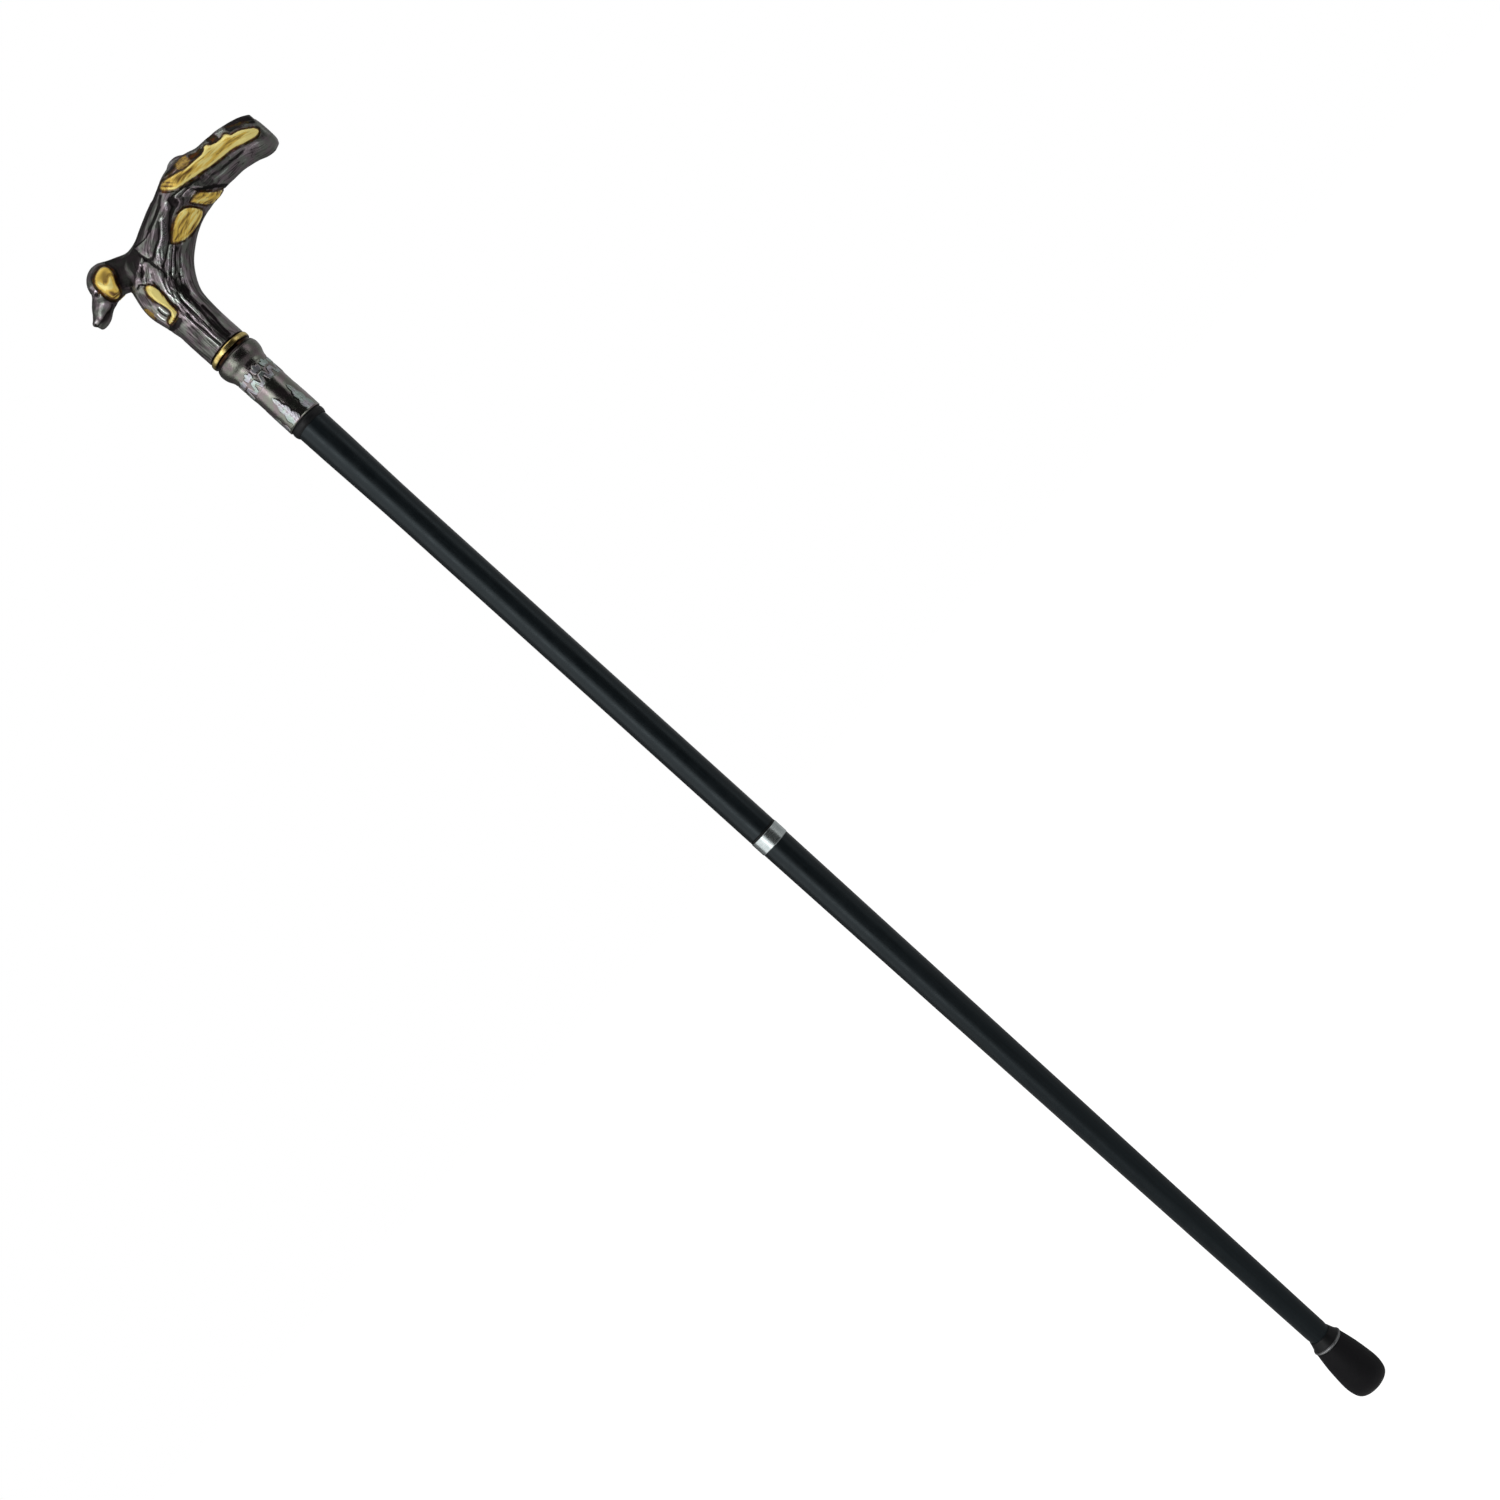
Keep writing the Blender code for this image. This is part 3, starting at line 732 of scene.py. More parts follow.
def sleeve_carving(turn, drop, up, radius):
    """The ornament's height in millimetres, by turn, drop from the top and rise from the bottom."""
    across = (turn - LEAF_TURN) * radius
    girth = math.tau * radius
    pitch = girth / LEAVES_ROUND
    low, high = LEAF_BAND
    within = soft_step(low - drop, 0, 0.5) * soft_step(drop - high, 0, 0.5)
    relief = within * zigzag_leaves(across, drop - high, pitch)
    line = 0.4 * ridge(drop - low - 0.3, 0.3)
    low, high = TOP_SPRAY
    within = soft_step(low - drop, 0, 0.4) * soft_step(drop - high, 0, 0.4)
    relief = relief + within * spray(across, low - drop, pitch, low - high)
    relief = relief + foot_leaves(across, up - 1, girth / FOOT_LEAVES) + line
    return np.clip(relief, 0, 1.2) * soft_step(drop, 11.6, 12.4) * soft_step(up, 0.4, 1)


def collar_sleeve(mat):
    r, base, top = span("collar_sleeve")
    rise = np.linspace(0, top - base, SLEEVE_ROWS)
    drop = rise[-1] - rise
    plain = r - 2.3
    bead = through(((BEAD_HEIGHT, plain), (9.6, plain + 0.35), (6.2, r - 0.5), (3, r),
                    (1, r - 0.35), (0, r - 0.8)), 8)
    profile = np.interp(drop, bead[::-1, 0], bead[::-1, 1])
    profile = np.where(drop > BEAD_HEIGHT, plain, profile)
    end = np.clip(0.35 - rise, 0, 0.35)
    sunk = SLEEVE_SINK * soft_step(drop, 11, 12.4) * soft_step(rise, 0.2, 0.9)
    turn = np.arange(SLEEVE_COLUMNS) * math.tau / SLEEVE_COLUMNS
    carving = SLEEVE_SINK * sleeve_carving(turn[None, :], drop[:, None], rise[:, None], plain)
    uneven = noise_at(revolve(profile, rise, SLEEVE_COLUMNS).reshape(-1, 3) * 0.32)
    carving += 0.05 * uneven.reshape(carving.shape) * soft_step(drop, BEAD_HEIGHT, 15)[:, None]
    carving = np.minimum(carving, sunk[:, None])
    outer = revolve((profile - end - sunk)[:, None] + carving, base + rise, SLEEVE_COLUMNS)
    bore = span("upper_shaft")[0] + SEAT_GAP
    lid = top - LID_DEPTH
    inner = revolve((STUD_HOLE, STUD_HOLE, bore, bore), (top, lid, lid, base), SLEEVE_COLUMNS)
    rows = np.concatenate((outer, inner))
    mesh = tube_mesh("sleeve", rows)
    shade = np.gradient(carving, axis=0) ** 2 + np.gradient(carving, axis=1) ** 2
    tone = np.zeros(rows.shape[:2])
    # Painted shade along the ornament's steep edges and, as a painted shadow, over the top millimetre
    # under the gold ring; the bead is toned a little darker.
    tone[:SLEEVE_ROWS] = carving * 1.05 - 0.12 * soft_step(np.sqrt(shade), 0.02, 0.09)
    tone[:SLEEVE_ROWS] -= soft_step(-drop, -1.3, -0.5)[:, None]
    tone[:SLEEVE_ROWS] -= 0.14 * soft_step(-drop, -12, -8)[:, None]
    set_attribute(mesh, "tone", tone.ravel())
    around = SLEEVE_GRAIN_R * np.stack((np.sin(turn), np.cos(turn)), axis=-1)
    around = np.broadcast_to(around[None], (*rows.shape[:2], 2))
    grain = np.concatenate((around, 0.6 * rows[..., 2:]), axis=-1)
    set_attribute(mesh, "grain", grain.reshape(-1, 3))
    stand_for(link_mesh(mesh, mat), "collar_sleeve", "upper_cane")


# Handle

HANDLE_VOXEL = 0.34
HANDLE_SMOOTHING = 14
# The side view's scale: x and height of the photograph's millimetres against the model's
VIEW_SHIFT = (1.27, 0.979)
VIEW_RISE = (915.3, 915, 0.963)
FAR_LIFT = 2.5

# Spine of the stem and grip: x, height, half width across it and half depth
SPINE = (
    (0, 820, 12, 11.9), (0, 847.6, 12, 11.9), (2, 864.3, 12.9, 11.9), (10.8, 879.6, 13.9, 11.8),
    (23.6, 889.6, 14, 11.7), (36.6, 895.1, 13.6, 11.5), (49, 898.2, 14.5, 11.5),
    (58, 897.8, 13.9, 11.2), (69, 896.5, 12, 10.7), (78, 895.3, 12.2, 10.5), (88, 892.6, 12.1, 10.5),
    (99, 889.1, 10, 9.2),
)
SPINE_STEPS = 24
# Points handled at once
SPINE_CHUNK = 20000
GRAIN_R = 12

# Gilt parts in the photograph's side view. Here and below, points
# are written in one row: across, height, across, height
EAR = (
    -23, 900.2, -20.4, 902.6, -17, 903.6, -13.9, 903.4, -12.2, 901.6, -11.9, 898.8, -13.2, 895.2,
    -15.2, 892.2, -16.4, 888.8, -18.2, 886.4, -20.8, 886, -22.9, 888.2, -23.6, 893, -23.8, 897.2,
)
LEG = (
    -6.9, 878.8, -4.6, 878.9, -3.1, 876.2, -2.8, 872, -3.3, 868, -4.2, 864, -4.4, 860, -5, 857.6,
    -7.4, 856.4, -9.8, 855.9, -12.4, 856.2, -11.6, 857.9, -8.6, 858.7, -7, 860.2, -7, 863.6, -7.9, 868,
    -8.5, 872, -8.3, 876,
)
BAND = (
    37.4, 907.9, 39.4, 909.4, 42, 909.9, 45.5, 909, 50, 907.5, 55, 905.8, 60, 905.2, 66, 904.4,
    68.6, 904.8, 69.7, 906.1, 71.8, 905.9, 73.4, 903.8, 79, 902.2, 81.6, 902.7, 83.2, 901.8,
    84.6, 899.6, 88.2, 898.4, 92, 896, 95.2, 893.3, 96.4, 891.2, 95.4, 889.7, 92.8, 889.2, 88, 890.8,
    84, 892.2, 80, 893.7, 75, 894.8, 70, 895.5, 65, 896.5, 60, 897.8, 56, 898.8, 52, 899.8, 48, 900.7,
    44.2, 901.6, 41.2, 903.4, 38.8, 905.6,
)
OVAL_LEAF = (
    21.3, 884.2, 25, 887.8, 28.2, 890, 32, 891.9, 36, 892.3, 39.2, 891.4, 41.6, 889.5, 43.2, 887,
    44.4, 884.4, 42.8, 882.3, 38, 880.8, 32, 880.1, 27, 880.5, 23.8, 882,
)
BAND_LEAF = (
    43.8, 891.4, 47, 892, 50.4, 891.8, 53, 889, 56.4, 885.6, 60.6, 882.4, 56, 881.6, 51, 882.4,
    48.3, 884.4, 45.9, 888,
)
# Brown stains: the most gilding each one keeps, where above zero shows some gold, and outline
STAINS = (
    (0.3, 49.6, 908.6, 51.6, 912.6, 56.4, 913.6, 61.4, 911.4, 62, 906.6, 60, 904, 54, 904.8, 50.4, 906.6),
    (0.4, -18.4, 873.4, -15, 873.8, -12.2, 870.4, -12, 866, -14, 862.6, -18.4, 862),
    (-0.2, -23.6, 900.8, -21, 904.6, -16.6, 906.2, -12.4, 905.6, -10.2, 902.6, -12.4, 900.6, -17, 902.4,
     -21, 901.6),
    (-0.6, 60, 911, 64.6, 909.6, 69.4, 908.8, 69.2, 904, 60, 904.8),
    (-0.6, 73, 909.4, 79.6, 908.6, 79.8, 902.4, 72.8, 903.2),
    (-0.5, 83, 904.6, 87, 901.4, 91, 898.4, 95, 895, 98, 897.6, 92.6, 902.8, 87, 905.6, 84, 907),
    (-0.4, 40, 911.4, 45, 912.4, 51, 911.6, 57, 908.8, 60, 906, 48, 907.6),
)

# Carving in the same view. Dark cuts: width, depth and line. The two broad shallow ones along the top of
# the neck and grip are painted shade.
CUTS = (
    (0.7, 1, 4.8, 888.4, 6.8, 886.9, 9.5, 887, 13, 889, 17.5, 890.9, 21, 893.7, 24.6, 896.8),
    (0.7, 0.8, 4.4, 897, 4.9, 891, 5.2, 886.5, 5.6, 882, 6.4, 877.5, 5.4, 874),
    (1.3, 1, 20.4, 885.2, 24, 888.8, 27.4, 892, 31, 894.6, 35.6, 896.8),
    (0.6, 0.9, 8.6, 879.6, 12.8, 881.6, 16.6, 884, 20, 886.2),
    (0.45, 0.9, 6.4, 871.6, 10.5, 875.2, 14.5, 878.8, 18.4, 881.9),
    (0.45, 0.9, 9.8, 872, 14, 875.6, 17.5, 879, 20.8, 881.6),
    (0.5, 0.8, 9.6, 868, 13.4, 872.4, 18, 877, 23, 880),
    (0.5, 0.8, -1.6, 853.4, -2.4, 848, -2.2, 843, -2, 829),
    (0.45, 0.8, 1.4, 858, 1.2, 851, 0.9, 845, 0.6, 838),
    (0.8, 1, 5.8, 860, 4.9, 853, 4, 846, 3.2, 838, 3.6, 829),
    (0.6, 0.9, 6.8, 850, 6.5, 843, 5.6, 836, 5.2, 829),
    (0.6, 0.9, -1.4, 878.6, -1.9, 873, -2.3, 868, -3, 863, -3.2, 858.6),
    (0.6, 0.7, 1.4, 881.6, -0.4, 878, -1.4, 874),
    (0.6, 0.8, -9.8, 881.8, -7.6, 882.2, -5.8, 880.4),
    (0.6, 0.6, -3.4, 884, 0, 887, 4.2, 889.4),
    (0.9, 0.8, -10.6, 903.4, -9.4, 899.8, -9.8, 896, -12.2, 892, -14.2, 888.2),
    (0.9, 0.38, 62, 893.4, 66, 891.6, 71, 890.9, 77, 890.2, 82, 888.8),
    (0.9, 1, 51.6, 893, 56.2, 889.4, 60.2, 886, 63, 883.2),
    # Painted shade along the top of the neck and grip
    (2.2, 0.4, -7, 901, -3, 897.6, 2, 896.6, 6, 898.4),
    (1.8, 0.35, 9, 899.4, 16, 901.4, 24, 904.6, 31, 907.6, 38, 910),
    (0.8, 0.8, 18, 898, 24, 899.8, 29, 902, 35, 906),
    (0.5, 0.6, 6, 897.6, 12, 896.6, 17, 897.4),
    (0.6, 0.7, 39.6, 901.2, 44, 900, 49, 898.6, 56, 896.8),
    (0.5, 0.6, 42, 897.6, 47.6, 897.8, 50.2, 894.6, 50.6, 892.8),
    (0.4, 0.3, -39.4, 883.9, -35, 884, -31, 884.9, -27.6, 884.7, -25, 885.9),
    (0.5, 0.6, -24.4, 898.6, -24.6, 893, -24.2, 888.4, -22.6, 886),
    (0.4, 0.7, -10.6, 866.2, -11, 863.4, -10.6, 860.6),
)
# Rubbed ridges: width, height and line. Some are also painted highlights, such as the light streak on the
# cheek.
RIDGES = (
    (1.5, 0.85, 12, 886.6, 17, 888.6, 21.5, 892, 26, 896.6),
    (0.8, 0.45, 11.2, 891.4, 15, 893.2, 20.6, 895.8),
    (0.9, 0.2, 7.2, 895.6, 7.6, 892, 8.2, 889.4),
    (1.5, 0.75, 32.6, 898.8, 34.2, 900.2),
    (0.38, 0.85, 4.8, 872.9, 9.5, 876.7, 14, 880.3, 19.5, 884.2),
    (0.38, 0.85, 8.2, 872.8, 11.6, 875.5, 15.6, 879, 20.6, 882.6),
    (0.5, 0.6, 12, 871.4, 15.5, 875, 19.5, 878.4, 24.4, 880.4),
    (0.42, 1.2, 9, 873.2, 10.8, 874.9),
    (0.42, 1.2, 11.6, 869.2, 13.6, 871.8),
    (0.42, 1, 8.8, 865.8, 10.6, 867.8),
    (0.9, 0.7, 0.2, 870, 2, 874.6, 4.6, 879),
    (0.45, 0.8, -0.6, 868, -0.2, 863, 0, 858, -0.6, 853),
    (0.45, 0.8, 3, 868.6, 3.4, 864, 2.6, 859.6, 2.4, 855, 2.3, 848, 1.8, 841),
    (0.45, 0.7, -3.4, 853, -3.7, 846, -3.6, 838, -3.4, 829),
    (0.45, 0.7, -0.6, 850, -0.7, 843, -0.9, 836, -0.7, 829),
    (1.5, 0.5, -7.6, 850.4, -5.2, 848.6),
    (0.5, 0.6, 39.8, 899.3, 43.4, 899.3, 47, 898.7),
    (0.6, 0.7, 43.8, 896.9, 48.8, 896.2),
    (0.6, 0.55, 51.4, 896.2, 53.6, 892.6),
    (0.7, 0.7, 0.4, 889.2, 1.8, 888),
    (0.7, 0.5, -6.6, 885.2, -5.2, 883.8),
    (0.7, 0.65, 2.6, 884.2, 0.2, 881.6, -2, 879.4),
    (0.6, 0.6, -2.8, 882.4, -4.4, 880.4),
    (0.5, 0.45, 61, 890.4, 65, 889.8, 69, 889.5, 74, 888.8, 80, 887.7, 84.6, 886.4),
    (0.9, 0.35, 60.6, 896.2, 66, 894.2, 72, 893.2, 79, 891.9, 86, 889.3, 91, 886.8),
    (0.7, 0.45, -26.2, 900.8, -23.6, 904, -18.6, 906.4, -14, 905.9, -11.2, 902.8),
    # Painted highlight: the light streak on the cheek
    (1, 0.75, -25.3, 898, -25.2, 893.6),
    (0.45, 0.9, -12.6, 864.6, -12.9, 862, -12.4, 859.6),
    (0.45, 0.9, -9.4, 866.4, -9.3, 863, -9, 860.4),
)
# Dark hollows: depth and outline. Three are painted shade rather than hollows: the strip along the top of
# the grip, the stem's left side and the underside of the jaw.
HOLLOWS = (
    (0.8, 44, 910.6, 47.4, 911.9, 52, 911.9, 53.2, 910.2, 49, 909.4),
    (0.7, 61, 909.6, 64.6, 908.2, 64.2, 905.6, 60.6, 906),
    (0.8, 65, 907.8, 68.4, 907.6, 68, 905, 65, 904.9),
    (0.65, 73.8, 908.4, 78.6, 907.6, 78.8, 903, 73.6, 903.9),
    (0.58, 84.6, 909, 90, 908, 96, 905, 99.6, 899.6, 97.6, 894.6, 94, 897, 89, 899.8, 85, 901.4,
     83.8, 904.4),
    (0.8, -13.6, 855.6, -6.4, 855.2, -6.4, 852.6, -10, 851.6, -13.4, 852.2),
    (0.6, 3.6, 866.4, 8.4, 865.6, 8.6, 862, 6.6, 858.4, 3, 859, 4.6, 862.6),
    (0.45, 2.2, 842, 5, 842, 5.4, 834, 5.4, 828, 1.8, 828, 2, 836),
    (0.55, -11, 903, -8, 903, -4, 899, 1, 897.6, 5, 897, 4.6, 891.6, 1.4, 890, -2, 888.4, -5.4, 886.6,
     -9, 884, -12, 885.6, -13.4, 889, -11, 896),
    # Painted shade along the top of the grip
    (0.34, 6, 898.6, 12, 897.2, 18, 898.4, 24, 901.2, 30, 903.6, 35, 907, 37, 911, 30, 908.6, 20, 904.6,
     10, 901),
    # Painted shade on the stem's left side
    (0.3, -13.4, 852, -4.6, 852, -4.4, 828, -13.4, 828),
    (0.5, -14.2, 891.2, -9.8, 892.2, -8.8, 888.4, -12.2, 885.6),
    (0.9, 35.8, 901.8, 39.4, 901, 39.4, 895.8, 36.4, 894.6, 34.8, 896.6),
    (0.35, -12.6, 879, -10.2, 880, -9.2, 874.6, -10.2, 869.4, -13.4, 872.4),
    (0.3, 55.8, 895.8, 60, 895.4, 61, 891, 58, 888.4, 55.4, 891.6),
    (0.35, -8.6, 859.9, -9, 861, -11.6, 859.4, -12.6, 857.8, -10, 858.8),
    # Painted shade under the jaw
    (0.12, -38.6, 883.6, -33, 884.2, -27, 885, -22, 885.4, -24, 882, -30, 879, -38, 879),
)
# Pale plates, raised a little: painted highlights, such as those on the muzzle, the nose and the
# shoulder: height and outline
PAINTED_HIGHLIGHTS = (
    (0.2, 79.2, 907.4, 83.6, 906.4, 84.6, 903.8, 82, 903.6, 79.4, 903.8),
    (0.4, 44.6, 911.9, 47, 913, 50, 914.2, 53.4, 914.4, 52, 912.8, 48, 912.2),
    (0.55, -35.4, 886.2, -31.6, 889.2, -28.4, 891.2, -25.2, 888.4, -26.2, 885.8, -30, 885.8, -34, 884.9),
    (0.7, -39, 886.7, -37.2, 887.3, -36.4, 886, -38.2, 885),
    (0.12, 5.4, 896.6, 10.6, 896, 10.2, 889.6, 6.4, 888.6, 5.4, 892),
    (0.42, 6.2, 884.4, 10, 885.9, 15, 888, 20, 891.6, 25, 896.8, 27.6, 896.2, 23.6, 890.4, 19.4, 886.8,
     14, 883.6, 8.4, 881),
    (0.1, -2.4, 884, 4, 884.6, 4.6, 876, 2.4, 866, -0.6, 866, -1.4, 876),
)
# Smooth metal under the bend, toned darker as painted shade
SMOOTH = (
    7.4, 840, 8.4, 850, 10, 857, 13.2, 864, 17.4, 869.6, 22, 874.6, 28, 878.2, 36, 879.4, 46, 881,
    36, 870, 24, 858, 16, 842,
)
# Strand strength: middle across, middle height, spread across, spread in height, and amount
STRANDS = (
    (4, 863, 5.5, 8, 0.65), (13, 877, 9, 7, 0.55), (0, 842, 6, 14, 0.4), (2, 883, 10, 7, 0.15),
    (30, 897, 26, 5, 0.15), (60, 893, 22, 3, 0.2), (78, 888, 20, 5, 0.16),
)
STRAND_BASE = 0.24
STRAND_DEPTH = 0.42
EYE = (-26.5, 895.6)
NOSTRIL = (-39.0, 885.2)
# The ear's fold and its painted highlight, a bright crescent inside it, in the same view
EAR_FOLD = (-22, 899, -20.4, 895.8, -17.4, 894, -14, 896.4)
EAR_HIGHLIGHT = (-22.4, 899.6, -21.6, 894.6, -18.6, 893.2, -14.6, 895.4)


def photo_plane(points, lift=0):
    """Where points fall in the photograph's side view. The far side reads as the near one."""
    x, y, z = points.T
    near = -CAMERA_AT.y / (-CAMERA_AT.y - np.abs(y))
    drop = np.where(y > 0, lift, 0)
    across = CAMERA_AT.x + (x - CAMERA_AT.x) * near
    height = CAMERA_AT.z + (z - drop - CAMERA_AT.z) * near
    shift, scale = VIEW_SHIFT
    model, photo, rise = VIEW_RISE
    return np.stack(((across - shift) / scale, photo + (height - model) / rise), axis=1)


def paired(values):
    return np.reshape(values, (-1, 2))


def line_distance(points, line):
    """Distance from each point to a line of points."""
    nearest = np.full(len(points), np.inf)
    for a, b in zip(line, line[1:]):
        run = b - a
        t = np.clip(((points - a) @ run) / (run @ run), 0, 1)
        gap = points - (a + t[:, None] * run)
        nearest = np.minimum(nearest, np.hypot(gap[:, 0], gap[:, 1]))
    return nearest


def near_box(points, line, margin):
    low, high = line.min(axis=0) - margin, line.max(axis=0) + margin
    return np.all((points > low) & (points < high), axis=1)


def stroke(points, width, line):
    """1 on a line of the carving, fading out over its width."""
    line = through(paired(line))
    value = np.zeros(len(points))
    near = near_box(points, line, 3 * width)
    value[near] = ridge(line_distance(points[near], line), width)
    return value


def depth_inside(points, corners, rounding=2):
    """Distance inside a closed outline, negative outside it."""
    loop = through(paired(corners), rounding, closed=True)
    loop = np.vstack((loop, loop[:1]))
    result = np.full(len(points), -9.0)
    near = near_box(points, loop, 4)
    part = points[near]
    inside = np.zeros(len(part), dtype=bool)
    px, py = part.T
    for (ax, ay), (bx, by) in zip(loop, loop[1:]):
        spans = (ay > py) != (by > py)
        crossing = ax + (py - ay) * (bx - ax) / (by - ay if by != ay else 1)
        inside ^= spans & (px < crossing)
    distance = line_distance(part, loop)
    result[near] = np.where(inside, distance, -distance)
    return result


def along_spine(points):
    """Each point's place along the spine and round it, as a seamless unrolled vector."""
    spine = through(SPINE, SPINE_STEPS)
    line = spine[:, :2]
    step = np.gradient(line, axis=0)
    step /= np.linalg.norm(step, axis=1)[:, None]
    travelled = np.concatenate(((0,), np.cumsum(np.linalg.norm(np.diff(line, axis=0), axis=1))))
    flat = points[:, [0, 2]]
    nearest = np.empty(len(points), dtype=int)
    for start in range(0, len(points), SPINE_CHUNK):
        part = slice(start, start + SPINE_CHUNK)
        gaps = ((flat[part][:, None, :] - line[None, :, :]) ** 2).sum(axis=2)
        nearest[part] = gaps.argmin(axis=1)
    offset = flat - line[nearest]
    outward = np.stack((-step[nearest, 1], step[nearest, 0]), axis=1)
    over = (offset * outward).sum(axis=1)
    along = travelled[nearest] + (offset * step[nearest]).sum(axis=1)
    angle = np.arctan2(points[:, 1] / spine[nearest, 3], over / spine[nearest, 2])
    return np.stack((GRAIN_R * np.cos(angle), GRAIN_R * np.sin(angle), along), axis=1)


def noise_at(places):
    return np.array([noise.noise(Vector(p)) for p in places])


def bell(across, height, middle_x, middle_z, spread_x, spread_z):
    return np.exp(-((across - middle_x) / spread_x) ** 2 - ((height - middle_z) / spread_z) ** 2)


def veins(points, start, end, count, sag):
    """Lengthwise grooves between two tips of a leaf, bowed apart in its middle."""
    start, end = np.array(start), np.array(end)
    run = end - start
    length = np.linalg.norm(run)
    run /= length
    offset = points - start
    t = np.clip(offset @ run / length, 0, 1)
    side = offset @ np.array((-run[1], run[0]))
    spread = np.maximum(np.sin(math.pi * t) ** 0.7, 0.15) * sag
    return 0.5 + 0.5 * np.cos(math.tau * count * side / (2 * spread))


def strands(points, side, grain):
    """Long wandering strands of bark, twisted on the breast, and how strong they are."""
    wander = noise_at(points * 0.05)
    coarse = noise_at(grain * 0.42 + wander[:, None] * 0.9)
    fine = noise_at(grain * 1.15 + 7.3)
    finest = noise_at(grain * 2.1 - 3.1)
    lines = 0.6 * coarse + 0.6 * fine + 0.2 * finest
    lines = lines - 0.5 * ridge(coarse, 0.07) - 0.35 * ridge(fine, 0.1)
    across, height = side.T
    slope = np.stack((0.95 * across - 0.31 * height, 0.25 * (0.31 * across + 0.95 * height),
                      0.2 * points[:, 1]), axis=1)
    twisted = noise_at(slope * 0.62)
    lines += bell(across, height, 2, 864, 5.5, 8) * (1.5 * twisted - 0.8 * ridge(twisted, 0.1))
    amount = np.full(len(points), STRAND_BASE)
    for *where, extra in STRANDS:
        amount += extra * bell(across, height, *where)
    return lines, amount


def press(lift, tone, mark, depth, shade, hide=0.5):
    """Change both in place: sink the marked spots, hide part of their tone and darken them."""
    lift -= depth * mark
    tone *= 1 - hide * mark
    tone -= shade * mark


def carve(points):
    """For each point: how far it lifts, its light and dark, its gilt distance and strand place."""
    side = photo_plane(points)
    lifted = photo_plane(points, FAR_LIFT)
    across, height = side.T
    grain = along_spine(points) * (1, 1, 0.1)
    lines, amount = strands(points, side, grain)

    head = soft_step(-across, 9, 13) * soft_step(height, 879, 884)
    cap = soft_step(across, 93, 96.5)
    smooth = soft_step(depth_inside(side, SMOOTH, 3), -1.5, 0.8)
    amount *= (1 - 0.75 * head) * (1 - 0.85 * cap) * (1 - 0.85 * smooth)

    ear, leg = depth_inside(lifted, EAR, 3), depth_inside(side, LEG, 3)
    band, oval = depth_inside(side, BAND), depth_inside(lifted, OVAL_LEAF, 3)
    leaf = depth_inside(lifted, BAND_LEAF)
    gilded = (ear, leg, band, oval, leaf)
    gold = np.max(gilded, axis=0)
    bare = 1 - soft_step(gold, -0.45, 0.25)
    lift = STRAND_DEPTH * lines * amount * bare
    # Under the bend the bare metal is toned darker, as painted shade.
    tone = 1.1 * lines * amount * bare - 0.26 * smooth

    for table, sink, shade, share in ((CUTS, 0.45, 0.75, 1), (RIDGES, -0.3, -0.6, 1 - 0.8 * smooth)):
        for width, amount, *line in table:
            mark = stroke(side, width, line) * bare * share
            press(lift, tone, mark, sink * amount, shade * amount)
    crown = (1 - soft_step(np.abs(points[:, 1]), 1, 5)) * (1 - head)
    drift = np.stack((noise_at(points * 0.22 + 3), noise_at(points * 0.22 - 5)), axis=1)
    patch = side + (0.8 + 3 * crown[:, None]) * drift
    fade = 1 - 0.5 * crown
    # Hollows sink and darken, some of them as painted shade; the pale plates rise a little and lighten as
    # painted highlights.
    for table, sink, shade, hide in ((HOLLOWS, 0.3, 0.75, 0.6), (PAINTED_HIGHLIGHTS, -0.2, -0.8, 0.5)):
        for amount, *outline in table:
            mark = soft_step(depth_inside(patch, outline), -0.6, 0.8) * bare * fade
            press(lift, tone, mark, sink * amount, shade * amount, hide)
    uneven = 0.65 + 0.9 * noise_at(points * 0.35)
    for distance in gilded:
        gutter = ridge(distance + 0.6, 0.5) * uneven
        pad = soft_step(distance, -0.2, 0.8)
        lift += 0.32 * pad - 0.4 * gutter
        tone += 0.22 * pad - 0.55 * gutter * bare

    oval_veins = veins(lifted, (20.8, 884.2), (45.2, 885.4), 3.5, 6) * soft_step(oval, 0.5, 1.3)
    leaf_veins = veins(lifted, (43.8, 893), (61.6, 880.8), 2.5, 4.6) * soft_step(leaf, 0.3, 1)
    nicks = ridge((across + 0.9 * (height - 906)) % 2.7 - 1.35, 0.45) * soft_step(-across, -47, -42)
    nicks = nicks * soft_step(band, 0.3, 0.9)
    dish = soft_step(ear, 0.8, 3.6)
    fold = ridge(line_distance(lifted, through(paired(EAR_FOLD))), 1.1) * dish
    notch = soft_step(height - 0.1 * across, 898, 900.5) * soft_step(band, -0.4, 0.2)
    # The ear's dish sinks and darkens as painted shade; its fold rises and lightens as a painted
    # highlight.
    for mark, depth, shade in ((oval_veins, 0.22, 0.42), (leaf_veins, 0.2, 0.4), (nicks, 0.28, 0.55),
                               (dish, 0.3, 0.34), (-fold, 0.3, 0.45), (notch, 0.1, 0.35)):
        press(lift, tone, mark, depth, shade, 0)
    streaks = 0.55 * noise_at(grain * 0.55 + 4.4) + 0.45 * noise_at(grain * 1.5 - 2.2)
    # Painted highlight along the gilt band, a millimetre inside its outline; the streaks are random tone
    # in all the gilt.
    tone += 0.42 * ridge(band - 1, 0.6) + 1.25 * streaks * (1 - bare)
    # Painted highlight: a bright crescent inside the ear
    glow = ridge(line_distance(lifted, through(paired(EAR_HIGHLIGHT))), 1.8)
    tone += 1.15 * glow * dish + 0.25 * soft_step(leg, 0.5, 1.3)

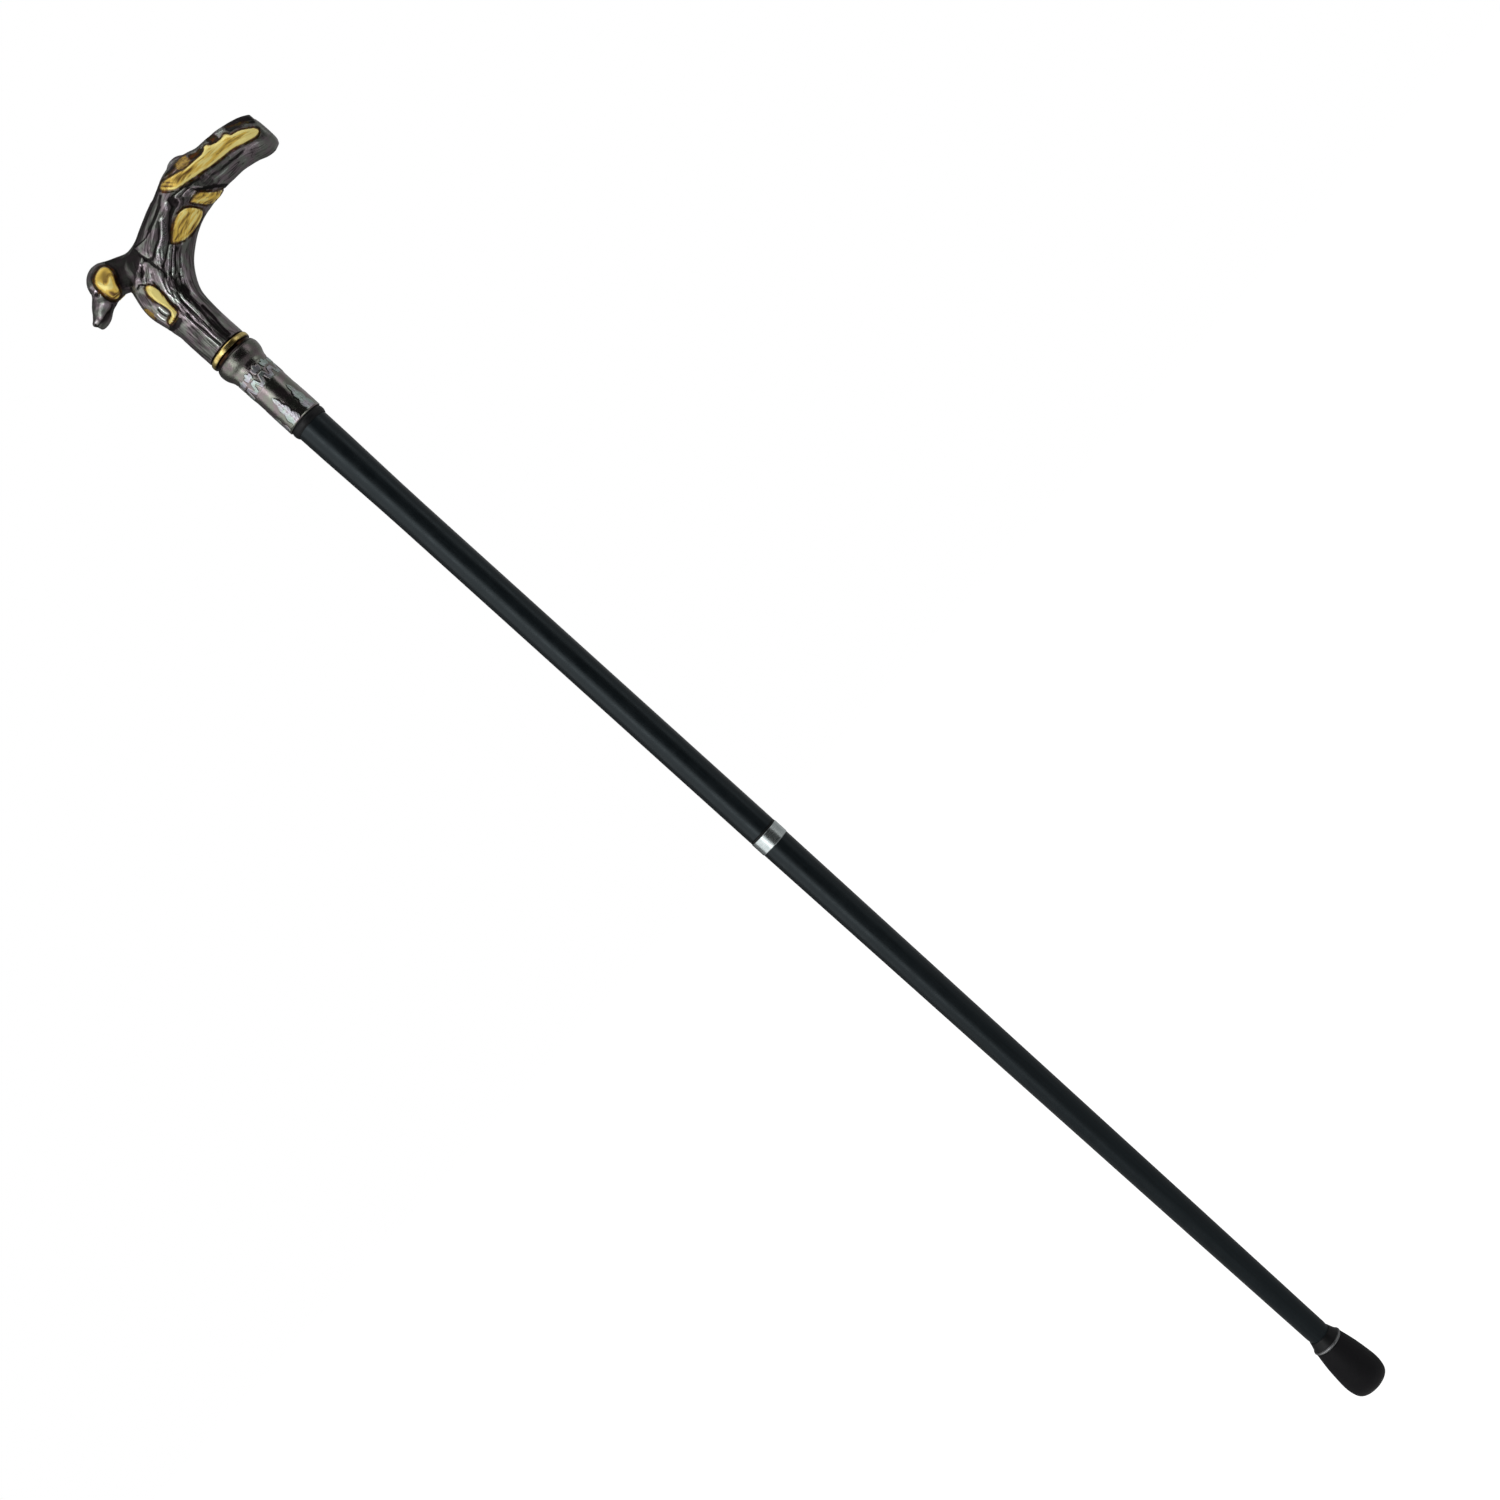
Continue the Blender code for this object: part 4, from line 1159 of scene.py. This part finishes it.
    gaze = np.hypot(across - EYE[0], 1.15 * (height - EYE[1]))
    lift += head * (0.3 * ridge(gaze, 0.9) - 0.35 * ridge(gaze - 1.5, 0.4) + 0.2 * ridge(gaze - 2.3, 0.5))
    tone += head * (0.3 * ridge(gaze - 2.2, 0.4) - 0.4 * ridge(gaze, 1.2))
    nostril = ridge(np.hypot(across - NOSTRIL[0], height - NOSTRIL[1]), 0.55)
    press(lift, tone, nostril, 0.35, 0.6, 0)
    fur = noise_at(points * (0.3, 0.8, 0.8)) * head * bare
    lift += 0.1 * fur
    tone += 0.16 * noise_at(grain * 0.9 + 11) * bare
    # Painted shade: the head's bare metal is toned darker.
    tone += 0.06 * fur - 0.27 * head * bare
    # Painted shade on the underside of the grip's tail end
    tail_underside_shade = soft_step(across, 56, 64) * soft_step(898 - height, 0, 6)
    tone -= 0.07 * tail_underside_shade * bare

    for most, *outline in STAINS:
        mark = soft_step(depth_inside(patch, outline), -0.8, 2.6) * fade
        gold = np.where(mark > 0, np.maximum(gold, most - 2.6 * (1 - mark)), gold)
    return lift, tone, gold, grain


def vertex_rows(mesh, key):
    values = np.empty(3 * len(mesh.vertices))
    mesh.vertices.foreach_get(key, values)
    return values.reshape(-1, 3)


def handle_skin(mat):
    """The CAD casting, remeshed finely and carved along its surface."""
    even = linked("handle_source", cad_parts["handle_casting"].data.copy())
    fuse = even.modifiers.new("Even", "REMESH")
    fuse.mode = "VOXEL"
    fuse.voxel_size = HANDLE_VOXEL * MM
    soften = even.modifiers.new("Soften", "SMOOTH")
    soften.factor = 0.5
    soften.iterations = HANDLE_SMOOTHING
    depsgraph = bpy.context.evaluated_depsgraph_get()
    mesh = bpy.data.meshes.new_from_object(even.evaluated_get(depsgraph))
    bpy.data.objects.remove(even, do_unlink=True)
    mesh.name = "handle"

    points = vertex_rows(mesh, "co") / MM
    low, high = box_mm("handle_casting")
    lift, tone, gold, grain = carve(points)
    seat = soft_step(points[:, 2], low.z + 0.3, low.z + 1.2)
    bore = soft_step(np.hypot(points[:, 0], points[:, 1]), 5, 7)
    lift = lift * np.where(points[:, 2] < low.z + 30, seat * bore, 1)
    points += vertex_rows(mesh, "normal") * lift[:, None]
    mesh.vertices.foreach_set("co", (np.clip(points, low, high) * MM).ravel())
    for name, values in (("tone", tone), ("gold", gold), ("grain", grain)):
        set_attribute(mesh, name, values)
    mesh.update()
    handle = link_mesh(mesh, mat, sharp=180)
    stand_for(handle, "handle_casting", "upper_cane")


def build():
    set_stage()
    steel = turned_metal("steel", (0.34, 0.34, 0.35), (0.52, 0.52, 0.53), 0.24, 0.4)
    brass = turned_metal("brass", (0.42, 0.29, 0.11), (0.62, 0.45, 0.19), 0.26, 0.42)
    bright = turned_metal("bright_steel", (0.6, 0.67, 0.675), (0.74, 0.8, 0.8), 0.22, 0.32)
    satin = turned_metal("satin_ring", (0.24, 0.245, 0.25), (0.34, 0.345, 0.35), 0.42, 0.55)
    black = black_fitting()
    wood = lacquer()
    dress_cad({"ferrule_washer": steel, "handle_stud": steel, "top_insert": brass, "joint_socket": brass})
    upper_shaft(wood)
    lower_shaft(wood)
    shades = ((0.03, 0.027, 0.027), (0.3, 0.28, 0.275), (0.92, 0.9, 0.91))
    handle_skin(antique_nickel("handle_nickel", shades, (0.5, 0.38, 0.26), 0.42, 0.01, True))
    shades = ((0.04, 0.034, 0.032), (0.31, 0.29, 0.27), (0.56, 0.61, 0.62))
    collar_sleeve(antique_nickel("sleeve_nickel", shades, (0.35, 0.18, 0.4), 0.3, 0.003, False))
    gold_ring()
    black_lip(black)
    joint_washer(black)
    joint_band(bright)
    joint_stud(steel)
    foot_trim(black, satin)
    rubber_tip(rubber())


build()
